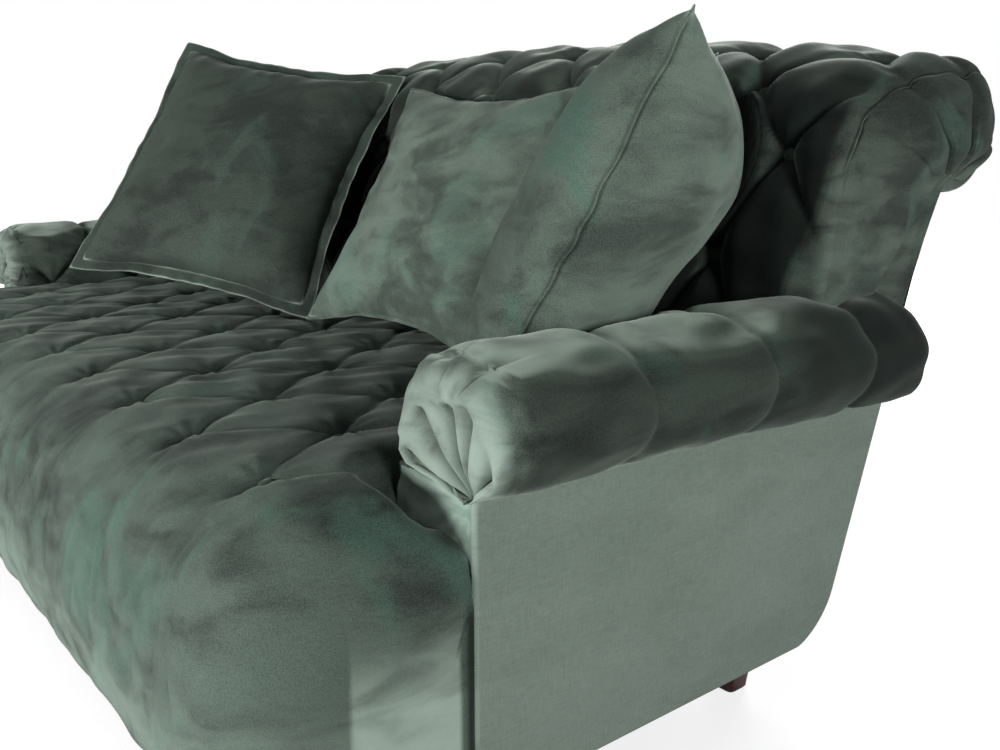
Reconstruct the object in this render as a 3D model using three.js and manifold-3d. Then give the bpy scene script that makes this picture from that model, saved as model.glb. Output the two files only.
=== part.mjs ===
// A deep-buttoned velvet chesterfield sofa with rolled arms, an arched and rolled back,
// a seat that rolls over its front edge, four short timber feet and three loose cushions.
// Millimetres, +Z up, the front toward -Y, the origin on the floor under the middle of the sofa.
import * as THREE from "three";
import { mergeVertices } from "three/addons/utils/BufferGeometryUtils.js";
import Module from "manifold-3d";

const wasm = await Module();
wasm.setup();

// Overall sizes
const halfWidth = 1037;
const footHeight = 66;
const frontOverhang = 297;
const fitGap = 0.3;
const cutOverrun = 40;
const weldDistance = 0.001;
const sliverSize = 0.05;
const coverThickness = 6;

// Back roll and raked back
const backRollRadius = 104;
const backRollSetback = 905;
const backRollHeight = 810;
const camelRise = 67;
const camelHalfSpan = 1000;
const backSeamSetback = 853;
const backSeamHeight = 720;
const rakeAngle = THREE.MathUtils.degToRad(18.2);
const backFaceSetback = 545;
const backFaceHeight = 450;
const backFaceSlope = 0.12;
const backFaceTop = 760;
const backPadBottom = 300;
const backShoulderRise = 95;
const backShoulderReach = 190;
const backEndRounding = 60;
const backEndRoundingDepth = 22;
const backRollEndReach = 56;
const backRollEndInset = 8;

// Everything is set out from the plane of the arm fronts, half way along the depth for the origin
const rearReach = backRollSetback + backRollRadius;
const armFrontY = (frontOverhang - rearReach) / 2;

// Arms
const armThickness = 155;
const armInnerHalfWidth = halfWidth - armThickness;
const armRollHeight = 501;
const armRollRise = 79;
const armRollDrop = 79;
const armRollRearDrop = 104;
const armSeamHeight = 426;
const armRollOverhang = 78;
const armRollRearReach = 762;
const armRollNose = 12;
const armRollEndRounding = 45;
const armRollRearRounding = 62;
const armPadBottom = 300;

// Deep buttoning
const tuftPitch = 209;
const tuftRowPitch = 153;
const firstTuftSetback = -141;
const seatTuftRows = 5;
const seatTuftDepth = 38;
const backTuftDepth = 42;
const backFirstTuftHeight = 470;
const backTuftRows = 4;
const armTuftDepth = 26;
const armTuftPitch = 208;
const armLowerTuftSetback = 86;
const armUpperTuftSetback = 190;
const armLowerTuftHeight = 430;
const armTufts = 3;
const armTuftSpread = 42;
const pleatDepth = 12;
const pleatSpread = 26;
const creaseShare = 0.5;
const creaseSharpness = 0.8;

// Seat
const seatCrest = 437;
const seatSideCrest = 290;
const seatSideRounding = 150;
const seatRollLength = 185;
const seatBulgeHeight = 200;
const seatTuckDepth = 72;
const seatCornerTuckShare = 0.8;
const seatCornerLength = 145;
const seatCornerWidth = 130;
const seatBow = 12;
const seatEarDrop = 88;
const seatEarLength = 70;
const seatRollFullness = 0.82;
const seatRearReach = 575;
const deckClearHeight = 312;

// Timber frame
const railThickness = 28;
const railClearance = 6;
const deepRailHeight = 213;
const sideRailHeight = 128;
const sideRailFront = -150;
const frontRailSetback = -215;
const frontRailEndInset = 122;
const frontRailHalfLength = halfWidth - frontRailEndInset;
const rearRailSetback = 545;
const crossRailHeight = 95;
const crossRailOffset = 330;
const cornerBlockSide = 100;
const cornerBlockTail = 33;
const cornerBlockHeight = 58;
const armPostWidth = 42;
const armPostDepth = 52;
const armRailWidth = 85;
const armRailThickness = 29;
const armRailTop = 469.7;
const tackRailWidth = 28;
const tackRailHeight = 40;
const uprightWidth = 28;
const uprightDepth = 60;
const uprightBottom = 122;
const uprightTop = 742;
const baseCornerRadius = 72;
const backLowerRailHeight = 80;
const backLowerRailBottom = 305;
const backTopRailHeight = 92;
const webStrapWidth = 50;
const webStrapThickness = 2.4;
const webStraps = 4;
const webStrapLap = 28;
const dustClothThickness = 3;
const archSegments = 16;
const baseCornerSteps = 5;

// Seat springs
const springWire = 2.2;
const springs = 7;
const springEdgeGap = 174;
const springPitch = (armInnerHalfWidth - springEdgeGap) / ((springs - 1) / 2);
const springAmplitude = 27;
const springBends = 14;
const springCrown = 22;
const springEndRun = 14;
const springClipWidth = 34;
const springClipLength = 24;
const springClipThickness = 2;
const springWireSides = 4;
const springStepsPerBend = 5;

// Feet and their bolts
const footTopSide = 66;
const footBottomSide = 40;
const footChamferShare = 0.32;
const footFlare = 1.6;
const footSteps = 6;
const footInset = 34;
const rearFootSetback = 515;
const boltRadius = 5;
const boltIntoBlock = 34;
const boltIntoFoot = 40;
const boltSides = 12;

// Buttons on the inside of the arms
const buttonRadius = 11;
const buttonHeight = 7;
const buttonSides = 12;
const buttonSink = 3;
const buttonRimShare = 0.4;
const buttonSteps = 4;

// Loose cushions: their sizes and places are shares of the half width between the arms,
// counted from the middle, forward from the face of the back and up from the seat
const cushionFlange = 6;
const cushionDrawIn = 26;
const cushionCells = 12;
const cushionShoulder = 4;
const cushionPuff = 0.62;
const cushionLiftStep = 12.5;
const cushionLiftSteps = 8;
const looseCushions = [
  {
    name: "left_cushion",
    shares: { side: 0.69161, thickness: 0.199546, across: -0.340136, ahead: 0.225624, rise: 0.323129 },
    turn: 37,
    lean: 34,
    roll: 9.5,
  },
  {
    name: "middle_cushion",
    shares: { side: 0.600907, thickness: 0.147392, across: 0.326531, ahead: 0.069161, rise: 0.256236 },
    turn: 5,
    lean: 31,
    roll: 1,
  },
  {
    name: "right_cushion",
    shares: { side: 0.60771, thickness: 0.260771, across: 0.953515, ahead: 0.201814, rise: 0.275510 },
    turn: -53,
    lean: 27.5,
    roll: 0,
  },
];

const velvet = new THREE.MeshStandardMaterial({ color: 0x4a5c53, roughness: 0.85 });
const plainVelvet = new THREE.MeshStandardMaterial({ color: 0x64736a, roughness: 0.9 });
const timber = new THREE.MeshStandardMaterial({ color: 0xc9a878, roughness: 0.7 });
const footTimber = new THREE.MeshStandardMaterial({ color: 0x2a1714, roughness: 0.35 });
const steel = new THREE.MeshStandardMaterial({ color: 0x8b8f92, roughness: 0.4, metalness: 0.9 });
const webbing = new THREE.MeshStandardMaterial({ color: 0x2b2b2b, roughness: 0.9 });
const dustCloth = new THREE.MeshStandardMaterial({ color: 0x151515, roughness: 0.95 });

const sides = { left: -1, right: 1 };

function place(group, name, geometry, material) {
  const mesh = new THREE.Mesh(geometry, material);
  mesh.name = name;
  geometry.computeVertexNormals();
  group.add(mesh);
  return mesh;
}

// Solids and outlines

function toSolid(geometry) {
  const bare = new THREE.BufferGeometry();
  const loose = geometry.index ? geometry.toNonIndexed() : geometry;
  bare.setAttribute("position", loose.getAttribute("position").clone());
  const welded = mergeVertices(bare, weldDistance);
  const vertProperties = new Float32Array(welded.attributes.position.array);
  const triVerts = new Uint32Array(welded.index.array);
  return new wasm.Manifold(new wasm.Mesh({ numProp: 3, vertProperties, triVerts }));
}

function toGeometry(solid) {
  const mesh = solid.getMesh();
  const geometry = new THREE.BufferGeometry();
  geometry.setAttribute("position", new THREE.BufferAttribute(mesh.vertProperties, mesh.numProp));
  geometry.setIndex(new THREE.BufferAttribute(mesh.triVerts, 1));
  return geometry;
}

// What is left after the cuts, without the thin slivers that cuts side by side leave.
function cut(geometry, ...tools) {
  const left = tools.reduce((solid, tool) => solid.subtract(toSolid(tool)), toSolid(geometry));
  return toGeometry(left.simplify(sliverSize));
}

function join(geometry, ...others) {
  return toGeometry(others.reduce((left, other) => left.add(toSolid(other)), toSolid(geometry)));
}

// A box between two corners.
function block(x0, x1, y0, y1, z0, z1) {
  const box = new THREE.BoxGeometry(x1 - x0, y1 - y0, z1 - z0);
  box.translate((x0 + x1) / 2, (y0 + y1) / 2, (z0 + z1) / 2);
  return box;
}

// The same solid on the other side of the sofa, its faces still pointing out.
function mirrored(geometry) {
  const loose = geometry.index ? geometry.toNonIndexed() : geometry.clone();
  const source = loose.getAttribute("position");
  const flipped = new THREE.BufferGeometry();
  const points = [];
  for (let i = 0; i < source.count; i += 3)
    for (const k of [i, i + 2, i + 1]) points.push(-source.getX(k), source.getY(k), source.getZ(k));
  flipped.setAttribute("position", new THREE.Float32BufferAttribute(points, 3));
  return flipped;
}

function sided(side, geometry) {
  return side < 0 ? mirrored(geometry) : geometry;
}

// An outline in the side view (depth, height), given a thickness across the sofa.
function sidePlate(outline, x0, x1) {
  const shape = new THREE.Shape(outline.map(([y, z]) => new THREE.Vector2(y, z)));
  const plate = new THREE.ExtrudeGeometry(shape, { depth: x1 - x0, bevelEnabled: false });
  const turned = new THREE.Matrix4().makeBasis(
    new THREE.Vector3(0, 1, 0),
    new THREE.Vector3(0, 0, 1),
    new THREE.Vector3(1, 0, 0),
  );
  plate.applyMatrix4(turned);
  plate.translate(x0, 0, 0);
  return plate;
}

function signedArea(outline) {
  return outline.reduce((sum, [a, b], i) => {
    const [c, d] = outline[(i + 1) % outline.length];
    return sum + a * d - b * c;
  }, 0);
}

function capTriangles(section, axes) {
  const flat = section.map((point) => [point[axes[0]], point[axes[1]]]);
  const contour = flat.map(([a, b]) => new THREE.Vector2(a, b));
  const turn = Math.sign(signedArea(flat));
  return THREE.ShapeUtils.triangulateShape(contour, []).map(([a, b, c]) => {
    const area = signedArea([flat[a], flat[b], flat[c]]);
    return area * turn < 0 ? [a, c, b] : [a, b, c];
  });
}

// A closed body through sections of equally many points, with flat ends.
function loft(sections, axes) {
  const count = sections[0].length;
  const triangles = [];
  sections.slice(1).forEach((_, i) => {
    for (let j = 0; j < count; j += 1) {
      const next = (j + 1) % count;
      const near = i * count;
      const far = near + count;
      triangles.push([near + j, near + next, far + next], [near + j, far + next, far + j]);
    }
  });
  const last = (sections.length - 1) * count;
  capTriangles(sections[0], axes).forEach(([a, b, c]) => triangles.push([a, c, b]));
  capTriangles(sections.at(-1), axes).forEach(([a, b, c]) =>
    triangles.push([last + a, last + b, last + c]),
  );
  const points = sections.flat();
  const geometry = new THREE.BufferGeometry();
  geometry.setAttribute("position", new THREE.Float32BufferAttribute(points.flat(), 3));
  geometry.setIndex((volumeOf(points, triangles) < 0 ? turnedRound(triangles) : triangles).flat());
  return geometry;
}

function turnedRound(triangles) {
  return triangles.map(([a, b, c]) => [a, c, b]);
}

function volumeOf(points, triangles) {
  const [a, b, c] = [new THREE.Vector3(), new THREE.Vector3(), new THREE.Vector3()];
  return triangles.reduce((sum, [i, j, k]) => {
    a.fromArray(points[i]);
    b.fromArray(points[j]);
    c.fromArray(points[k]);
    return sum + a.dot(b.cross(c)) / 6;
  }, 0);
}

function range(count) {
  return Array.from({ length: count }, (_, i) => i);
}

function smooth(value) {
  return THREE.MathUtils.smoothstep(value, 0, 1);
}

// Rounded inward step of a quarter arc: how far a skin draws in, a given way before its end.
function rounding(toEnd, radius) {
  const left = THREE.MathUtils.clamp(toEnd, 0, radius);
  return radius - Math.sqrt(radius * radius - (radius - left) ** 2);
}

// Tufting

// Depth below the crest of a diamond-buttoned skin, from places counted in button pitches.
function diamondDepth(across, along) {
  const p = Math.abs(Math.sin(Math.PI * (across + along / 2)));
  const q = Math.abs(Math.sin(Math.PI * (across - along / 2)));
  const crease = 1 - Math.min(p, q) ** creaseSharpness;
  const button = Math.max(0, 1 - Math.max(p, q)) ** 2;
  return crease * (creaseShare + (1 - creaseShare) * button);
}

function pleatDepthAt(across) {
  const crease = 1 - Math.abs(Math.sin(Math.PI * across)) ** creaseSharpness;
  return crease * creaseShare;
}

// Side outline of the back

function camel(x) {
  const share = x / camelHalfSpan;
  return camelRise * (1 - share * share);
}

function rakeSetback(height) {
  return backSeamSetback + (height - backSeamHeight) * Math.tan(rakeAngle);
}

function backFaceAt(height) {
  return backFaceSetback + (height - backFaceHeight) * backFaceSlope;
}

const backFaceRows = 5;
const backShoulderSteps = 5;
const backRollSteps = 6;
const backRollSweep = THREE.MathUtils.degToRad(192);
const backEndShares = [0.96, 0.985, 1];
const rollEndSteps = 4;
const rollEndSides = 12;
const rollEndClosure = 0.94;
const rollEndFullness = 0.7;

// The outer skin from the foot of the front face, over the roll, to the seam under it,
// as points with their outward direction.
function backSkin(x) {
  const rise = camel(x);
  const top = backFaceTop + rise / 2;
  const centreHeight = backRollHeight + rise;
  const shoulder = new THREE.CubicBezierCurve(
    new THREE.Vector2(backFaceAt(top), top),
    new THREE.Vector2(backFaceAt(top + backShoulderRise), top + backShoulderRise),
    new THREE.Vector2(backRollSetback - backShoulderReach, centreHeight + backRollRadius),
    new THREE.Vector2(backRollSetback, centreHeight + backRollRadius),
  );
  const rows = range(backFaceRows).map((i) => backFirstTuftHeight + ((i - 1) * tuftRowPitch) / 2);
  const skin = [backPadBottom, ...rows].map((height) => {
    return { at: new THREE.Vector2(backFaceAt(height), height), out: new THREE.Vector2(-1, backFaceSlope) };
  });
  range(backShoulderSteps).forEach((i) => {
    const t = i / backShoulderSteps;
    const along = shoulder.getTangent(t);
    skin.push({ at: shoulder.getPoint(t), out: new THREE.Vector2(-along.y, along.x) });
  });
  range(backRollSteps + 1).forEach((i) => {
    const angle = Math.PI / 2 - (backRollSweep * i) / backRollSteps;
    const out = new THREE.Vector2(Math.cos(angle), Math.sin(angle));
    const centre = new THREE.Vector2(backRollSetback, centreHeight);
    skin.push({ at: centre.addScaledVector(out, backRollRadius), out });
  });
  return skin;
}

function backSeamHeightAt(x) {
  return backSeamHeight + camel(x);
}

// The plain prism that the back fills, swollen by a clearance, to keep its neighbours out.
function backEnvelope(clearance) {
  const outline = backSkin(0).map(({ at, out }) => {
    const grown = at.clone().addScaledVector(out.clone().normalize(), clearance);
    return [armFrontY + grown.x, grown.y];
  });
  outline.push([armFrontY + rearReach, backPadBottom - clearance]);
  outline.push([armFrontY + backFaceAt(backPadBottom) - clearance, backPadBottom - clearance]);
  return sidePlate(outline, -halfWidth - clearance, halfWidth + clearance);
}

const backTopTuftLength = backTuftRows * tuftRowPitch;

// How deep the buttoned skin of the back lies at a place across it and a length up it.
function backTuftAt(x, climbed) {
  const across = x / tuftPitch;
  const rows = climbed / tuftRowPitch;
  const inside = Math.abs(x) < armInnerHalfWidth ? 1 : 0;
  const plain = climbed > backTopTuftLength || rows < 0;
  const depth = plain ? pleatDepthAt(across + halfPitch) : diamondDepth(across + halfPitch, rows);
  return inside * backTuftDepth * depth;
}

const halfPitch = 1 / 2;
const tuftsEachSide = 4;
const cellsPerTuft = 4;
const cellsEachSide = tuftsEachSide * cellsPerTuft;
const tuftCells = range(2 * cellsEachSide + 1).map((i) => ((i - cellsEachSide) * tuftPitch) / cellsPerTuft);
const halfPitches = tuftCells.filter((_, i) => i % 2 === 0);

// Places across the sofa in order: the given ones, with more on each side alike.
function stationsAcross(places, more) {
  return [...places, ...more.flatMap((x) => [-x, x])].sort((a, b) => a - b);
}

function backSections() {
  const ends = backEndShares.map((share) => share * halfWidth);
  return stationsAcross(tuftCells, [armInnerHalfWidth, ...ends]).map((x) => {
    const toEnd = halfWidth - Math.abs(x);
    const inset = (backEndRoundingDepth / backEndRounding) * rounding(toEnd, backEndRounding);
    let climbed = backPadBottom - backFirstTuftHeight;
    const skin = backSkin(x);
    const points = skin.map(({ at, out }, i) => {
      if (i > 0) climbed += at.distanceTo(skin[i - 1].at);
      const direction = out.clone().normalize();
      const depth = inset + backTuftAt(x, climbed);
      const sunk = at.clone().addScaledVector(direction, -depth);
      return [x, armFrontY + sunk.x, Math.max(backPadBottom, sunk.y)];
    });
    const seam = backSeamHeightAt(x) + fitGap;
    const step = (coverThickness + fitGap) / Math.cos(rakeAngle);
    points.push([x, armFrontY + rakeSetback(seam), seam]);
    points.push([x, armFrontY + rakeSetback(seam) - step, seam]);
    points.push([x, armFrontY + rakeSetback(backPadBottom) - step, backPadBottom]);
    return points;
  });
}

// The puffed round end of the back roll, outside the side panel.
function backRollEnd() {
  const radius = backRollRadius - backRollEndInset;
  const height = backRollHeight + camel(halfWidth);
  const sections = range(rollEndSteps + 1).map((i) => {
    const turn = (i / rollEndSteps) * (Math.PI / 2) * rollEndClosure;
    const x = halfWidth - cutOverrun + (backRollEndReach + cutOverrun) * Math.sin(turn);
    const size = radius * Math.cos(turn) ** rollEndFullness;
    return range(rollEndSides).map((k) => {
      const angle = (2 * Math.PI * k) / rollEndSides;
      return [x, armFrontY + backRollSetback + size * Math.cos(angle), height + size * Math.sin(angle)];
    });
  });
  return loft(sections, [1, 2]);
}

// Slab in line with the raked back, where its timber stands, between two depths behind the cover.
function rakedSlab(x0, x1, z0, z1, near, far) {
  const slope = Math.cos(rakeAngle);
  return sidePlate(
    [
      [armFrontY + rakeSetback(z0) - far / slope, z0],
      [armFrontY + rakeSetback(z0) - near / slope, z0],
      [armFrontY + rakeSetback(z1) - near / slope, z1],
      [armFrontY + rakeSetback(z1) - far / slope, z1],
    ],
    x0,
    x1,
  );
}

const frameBehindCover = coverThickness + fitGap;
const frameDepthBehindCover = frameBehindCover + uprightDepth;
const sideRailOuter = halfWidth - coverThickness - fitGap;
const sideRailInner = sideRailOuter - railThickness;
const railBottom = footHeight + railClearance;
const deckHeight = railBottom + deepRailHeight;
const panelTop = armSeamHeight - fitGap;
const uprightOuter = sideRailInner - fitGap;

function backPad() {
  const frameHollow = rakedSlab(
    -uprightOuter - fitGap,
    uprightOuter + fitGap,
    backPadBottom - cutOverrun,
    uprightTop + fitGap,
    -cutOverrun,
    frameDepthBehindCover + webStrapThickness + 2 * fitGap,
  );
  const railPockets = Object.values(sides).flatMap((side) => [
    sided(side, armTopRail(fitGap)),
    sided(side, tackRail(fitGap)),
  ]);
  const panelSlots = Object.values(sides).map((side) =>
    sided(
      side,
      block(
        halfWidth - coverThickness - fitGap,
        halfWidth + cutOverrun,
        armFrontY,
        armFrontY + rearReach,
        backPadBottom - cutOverrun,
        armSeamHeight,
      ),
    ),
  );
  const ends = Object.values(sides).map((side) => sided(side, backRollEnd()));
  const pad = join(loft(backSections(), [1, 2]), ...ends);
  return cut(pad, frameHollow, backTopRail(fitGap), ...railPockets, ...panelSlots, ...dents);
}

// Plan of the timber base, its front corners clipped to stay inside the rounded seat.
function basePlan(clearance, rear) {
  const front = armFrontY + frontRailSetback - clearance;
  const half = [
    [frontRailHalfLength + clearance, front],
    [sideRailInner, front + railThickness],
    [sideRailOuter + clearance, armFrontY + sideRailFront - clearance],
    [sideRailOuter + clearance, rear],
  ];
  return [...half, ...half.map(([x, y]) => [-x, y]).reverse()];
}

// An outline seen from above, given a thickness upward.
function planPlate(outline, z0, z1) {
  const shape = new THREE.Shape(outline.map(([x, y]) => new THREE.Vector2(x, y)));
  const plate = new THREE.ExtrudeGeometry(shape, { depth: z1 - z0, bevelEnabled: false });
  plate.translate(0, 0, z0);
  return plate;
}

// Seat

// How far a place lies along a stretch that ends at the side of the sofa, from 0 to 1.
function shareToSide(x, length) {
  return THREE.MathUtils.clamp((Math.abs(x) - halfWidth) / length + 1, 0, 1);
}

function seatFrontAt(x) {
  const corner = shareToSide(x, seatCornerWidth);
  const share = x / halfWidth;
  return -frontOverhang + seatBow * share * share + seatCornerLength * (1 - Math.sqrt(1 - corner * corner));
}

function seatCrestAt(x, setback) {
  const side = shareToSide(x, seatSideRounding);
  const crest = seatSideCrest + (seatCrest - seatSideCrest) * Math.sqrt(1 - side * side);
  const beside = smooth((Math.abs(x) - armInnerHalfWidth + seatEarLength / 2) / seatEarLength);
  const near = smooth((setback + seatEarLength) / seatEarLength);
  return crest - seatEarDrop * beside * near * (1 - side);
}

function seatTuftAt(x, setback) {
  const across = x / tuftPitch;
  const rows = (setback - firstTuftSetback) / tuftRowPitch;
  const side = 1 - smooth(shareToSide(x, halfWidth - armInnerHalfWidth));
  if (rows < 0) return side * seatTuftDepth * pleatDepthAt(across);
  return side * seatTuftDepth * diamondDepth(across, Math.min(rows, seatTuftRows));
}

const seatRollSteps = 6;
const seatTuckSteps = 3;
const seatTopSteps = 9;
const seatOuterShares = [0.88, 0.915, 0.945, 0.97, 0.988, 1];
const frontFoldFade = 0.6;

function seatSections() {
  const outer = seatOuterShares.map((share) => share * halfWidth);
  return stationsAcross(tuftCells, outer).map((x) => {
    const front = seatFrontAt(x);
    const rollStart = front + seatRollLength;
    const rearmost = firstTuftSetback + (seatTopSteps * tuftRowPitch) / 2;
    const points = [];
    range(seatTopSteps + 1).forEach((i) => {
      const setback = Math.max(rearmost - (i * tuftRowPitch) / 2, rollStart);
      const height = seatCrestAt(x, setback) - seatTuftAt(x, setback);
      points.push([x, armFrontY + setback, height]);
    });
    range(seatRollSteps).forEach((i) => {
      const angle = ((i + 1) / seatRollSteps) * (Math.PI / 2);
      const forward = Math.sin(angle) ** seatRollFullness;
      const lift = Math.cos(angle) ** seatRollFullness;
      const crest = seatCrestAt(x, rollStart);
      const fade = 1 - (frontFoldFade * (i + 1)) / seatRollSteps;
      const fold = fade * seatTuftAt(x, firstTuftSetback - tuftRowPitch);
      points.push([
        x,
        armFrontY + rollStart - seatRollLength * forward + fold * forward,
        seatBulgeHeight + (crest - seatBulgeHeight) * Math.max(0, lift) - fold * lift,
      ]);
    });
    const corner = shareToSide(x, seatCornerWidth);
    const tuck = seatTuckDepth * (1 - seatCornerTuckShare * corner);
    range(seatTuckSteps).forEach((i) => {
      const angle = ((i + 1) / seatTuckSteps) * (Math.PI / 2);
      points.push([
        x,
        armFrontY + front + tuck * (1 - Math.cos(angle)),
        seatBulgeHeight - (seatBulgeHeight - footHeight) * Math.sin(angle),
      ]);
    });
    points.push([x, armFrontY + rearmost, footHeight]);
    return points;
  });
}

function seatPad() {
  const rearmost = armFrontY + seatRearReach;
  const armBays = Object.values(sides).map((side) =>
    sided(
      side,
      block(
        armInnerHalfWidth - fitGap,
        halfWidth + cutOverrun,
        armFrontY - fitGap,
        rearmost + cutOverrun,
        0,
        seatCrest + cutOverrun,
      ),
    ),
  );
  const sideRailTop = railBottom + sideRailHeight;
  const sideRailBay = planPlate(basePlan(fitGap, rearmost + cutOverrun), 0, sideRailTop + fitGap);
  const deckBay = block(
    -frontRailHalfLength - fitGap,
    frontRailHalfLength + fitGap,
    armFrontY + frontRailSetback - fitGap,
    rearmost + cutOverrun,
    0,
    deckHeight + fitGap,
  );
  const springBay = block(
    -armInnerHalfWidth - cutOverrun,
    armInnerHalfWidth + cutOverrun,
    armFrontY + frontRailSetback + railThickness / 4,
    rearmost + cutOverrun,
    0,
    deckClearHeight,
  );
  const pad = loft(seatSections(), [1, 2]);
  return cut(pad, ...armBays, sideRailBay, deckBay, springBay, backEnvelope(fitGap), ...dents);
}

// Arms

const armRollCentre = (halfWidth + armRollOverhang + armInnerHalfWidth) / 2;
const armRollHalfWidth = armRollCentre - armInnerHalfWidth;
const armHeightShares = [0, 0.3, 0.65, 0.83];
const armRearShares = [0.945, 0.975, 0.992, 1];
const armInnerHeights = armHeightShares.map((share) => armPadBottom + share * (armRollHeight - armPadBottom));
const armRollStations = 11;
const armRollStep = Math.PI / 8;
const armCellsPerTuft = 4;
const armInsetShare = 0.92;
const armSeamTuckShare = 0.95;
const armFoldFade = Math.PI / 3;

function armRearShare(setback) {
  return THREE.MathUtils.clamp(setback / armRollRearReach, 0, 1);
}

function armInset(setback) {
  const front = rounding(setback + armRollNose, armRollEndRounding + armRollNose);
  const rear = rounding(armRollRearReach - setback, armRollRearRounding);
  return armInsetShare * Math.max(front, rear);
}

function gauss(distance, spread) {
  return Math.exp(-((distance / spread) ** 2));
}

function nearestOf(setback, first) {
  const step = THREE.MathUtils.clamp(Math.round((setback - first) / armTuftPitch), 0, armTufts - 1);
  return setback - first - step * armTuftPitch;
}

function armTuftAt(setback, height) {
  const beside = gauss(nearestOf(setback, armLowerTuftSetback), armTuftSpread);
  const above = gauss(height - armLowerTuftHeight, armTuftSpread);
  return armTuftDepth * beside * above;
}

function armRollFoldAt(setback, turn) {
  const fold = gauss(nearestOf(setback, armUpperTuftSetback), pleatSpread);
  const past = smooth((Math.PI - turn) / armFoldFade);
  return pleatDepth * fold * past;
}

function armSection(setback) {
  const inset = armInset(setback);
  const drop = THREE.MathUtils.lerp(armRollDrop, armRollRearDrop, armRearShare(setback) ** 2);
  const y = armFrontY + setback;
  const points = armInnerHeights.map((height) => [
    armInnerHalfWidth + inset + armTuftAt(setback, height),
    y,
    height,
  ]);
  range(armRollStations).forEach((i) => {
    const turn = Math.PI - i * armRollStep;
    const sink = inset + armRollFoldAt(setback, turn);
    const tall = Math.sin(turn) > 0 ? armRollRise : drop;
    points.push([
      armRollCentre + (armRollHalfWidth - sink) * Math.cos(turn),
      y,
      armRollHeight + (tall - sink) * Math.sin(turn),
    ]);
  });
  const seam = armRollHeight - (drop - inset) * armSeamTuckShare;
  const seamX = halfWidth + fitGap;
  points.push([seamX, y, Math.min(seam, armSeamHeight)]);
  points.push([seamX, y, armSeamHeight]);
  points.push([armLiningOuter, y, armSeamHeight]);
  points.push([armLiningOuter, y, armPadBottom]);
  return points;
}

const armRailOuter = sideRailOuter;
const armRailInner = armRailOuter - armRailWidth;
const armCavityInner = armRailInner - fitGap;
const armLiningOuter = uprightOuter - armPostWidth - fitGap;

function armPad(side) {
  const setbacks = [-armRollNose, -armRollNose / 2, 0, armRollEndRounding / 2];
  const cell = armTuftPitch / armCellsPerTuft;
  range(armTufts * armCellsPerTuft + 1).forEach((i) => setbacks.push(armLowerTuftSetback + (i - 1) * cell));
  armRearShares.forEach((share) => setbacks.push(share * armRollRearReach));
  const railBay = block(
    armCavityInner,
    armRailOuter + fitGap,
    armFrontY + coverThickness,
    armFrontY + armRollRearReach + cutOverrun,
    armSeamHeight - fitGap,
    armRailTop + fitGap,
  );
  const facingBay = block(
    armInnerHalfWidth - cutOverrun,
    halfWidth + fitGap,
    armFrontY - armRollNose - cutOverrun,
    armFrontY + coverThickness + fitGap,
    armPadBottom - cutOverrun,
    armSeamHeight,
  );
  const pad = sided(side, loft(setbacks.map(armSection), [0, 2]));
  const pits = range(armTufts).map((step) => sided(side, armButton(step, fitGap)));
  const bays = [sided(side, railBay), sided(side, facingBay), backEnvelope(fitGap)];
  return cut(pad, ...bays, ...pits, ...dents, ...liftWays);
}

// Outline of the base in the side view, down the raked rear edge and round its lower corner.
function baseOutline(front, bottom, top, inset) {
  const slope = Math.cos(rakeAngle);
  const corner = baseCornerRadius - inset;
  const floor = footHeight + inset;
  const sweep = Math.PI / 2 - rakeAngle;
  const centreHeight = floor + corner;
  const centreSetback = rakeSetback(centreHeight) - (corner + inset) / slope;
  const arc = range(baseCornerSteps + 1).map((i) => {
    const angle = -Math.PI / 2 + (sweep * i) / baseCornerSteps;
    return [armFrontY + centreSetback + corner * Math.cos(angle), centreHeight + corner * Math.sin(angle)];
  });
  return [
    [armFrontY + front, Math.max(bottom, floor)],
    ...arc,
    [armFrontY + rakeSetback(top) - inset / slope, top],
    [armFrontY + front, top],
  ];
}

function outsideArmPanel() {
  const outline = baseOutline(coverThickness + fitGap, footHeight, panelTop, 0);
  return sidePlate(outline, halfWidth - coverThickness, halfWidth);
}

function armFacing() {
  return block(
    armInnerHalfWidth + coverThickness,
    halfWidth,
    armFrontY,
    armFrontY + coverThickness,
    railBottom + sideRailHeight + fitGap,
    panelTop,
  );
}

// The cover of the raked back, rounded under at the bottom, its top edge arched like the roll.
function outsideBackPanel() {
  const reach = halfWidth - coverThickness - fitGap;
  const sections = stationsAcross(halfPitches, [camelHalfSpan, reach]).map((x) => {
    const top = backSeamHeightAt(x);
    const outer = baseOutline(0, footHeight, top, 0).slice(1, -1);
    const inner = baseOutline(0, footHeight, top, coverThickness).slice(1, -1).reverse();
    return [...outer, ...inner].map(([y, z]) => [x, y, z]);
  });
  return loft(sections, [1, 2]);
}

// Timber frame

function sideRail() {
  const outline = baseOutline(sideRailFront, railBottom, railBottom + sideRailHeight, railClearance);
  return sidePlate(outline, sideRailInner, sideRailOuter);
}

// A rail across the sofa, between two setbacks.
function longRail(halfLength, setback, thickness, bottom, height) {
  return block(
    -halfLength,
    halfLength,
    armFrontY + setback,
    armFrontY + setback + thickness,
    bottom,
    bottom + height,
  );
}

function crossRail(offset) {
  return block(
    offset - railThickness / 2,
    offset + railThickness / 2,
    armFrontY + frontRailSetback + railThickness + fitGap,
    armFrontY + rearRailSetback - fitGap,
    railBottom,
    railBottom + crossRailHeight,
  );
}

// Glued triangular block in a corner of the base, bored for the bolt of the foot.
function cornerBlock(setback, deep) {
  const outer = sideRailInner - fitGap;
  const start = armFrontY + setback;
  const outline = [
    [outer, start],
    [outer, start + deep * cornerBlockSide],
    [outer - cornerBlockTail, start + deep * cornerBlockSide],
    [outer - cornerBlockSide, start + deep * cornerBlockTail],
    [outer - cornerBlockSide, start],
  ];
  return drilled(planPlate(outline, railBottom, railBottom + cornerBlockHeight));
}

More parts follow.
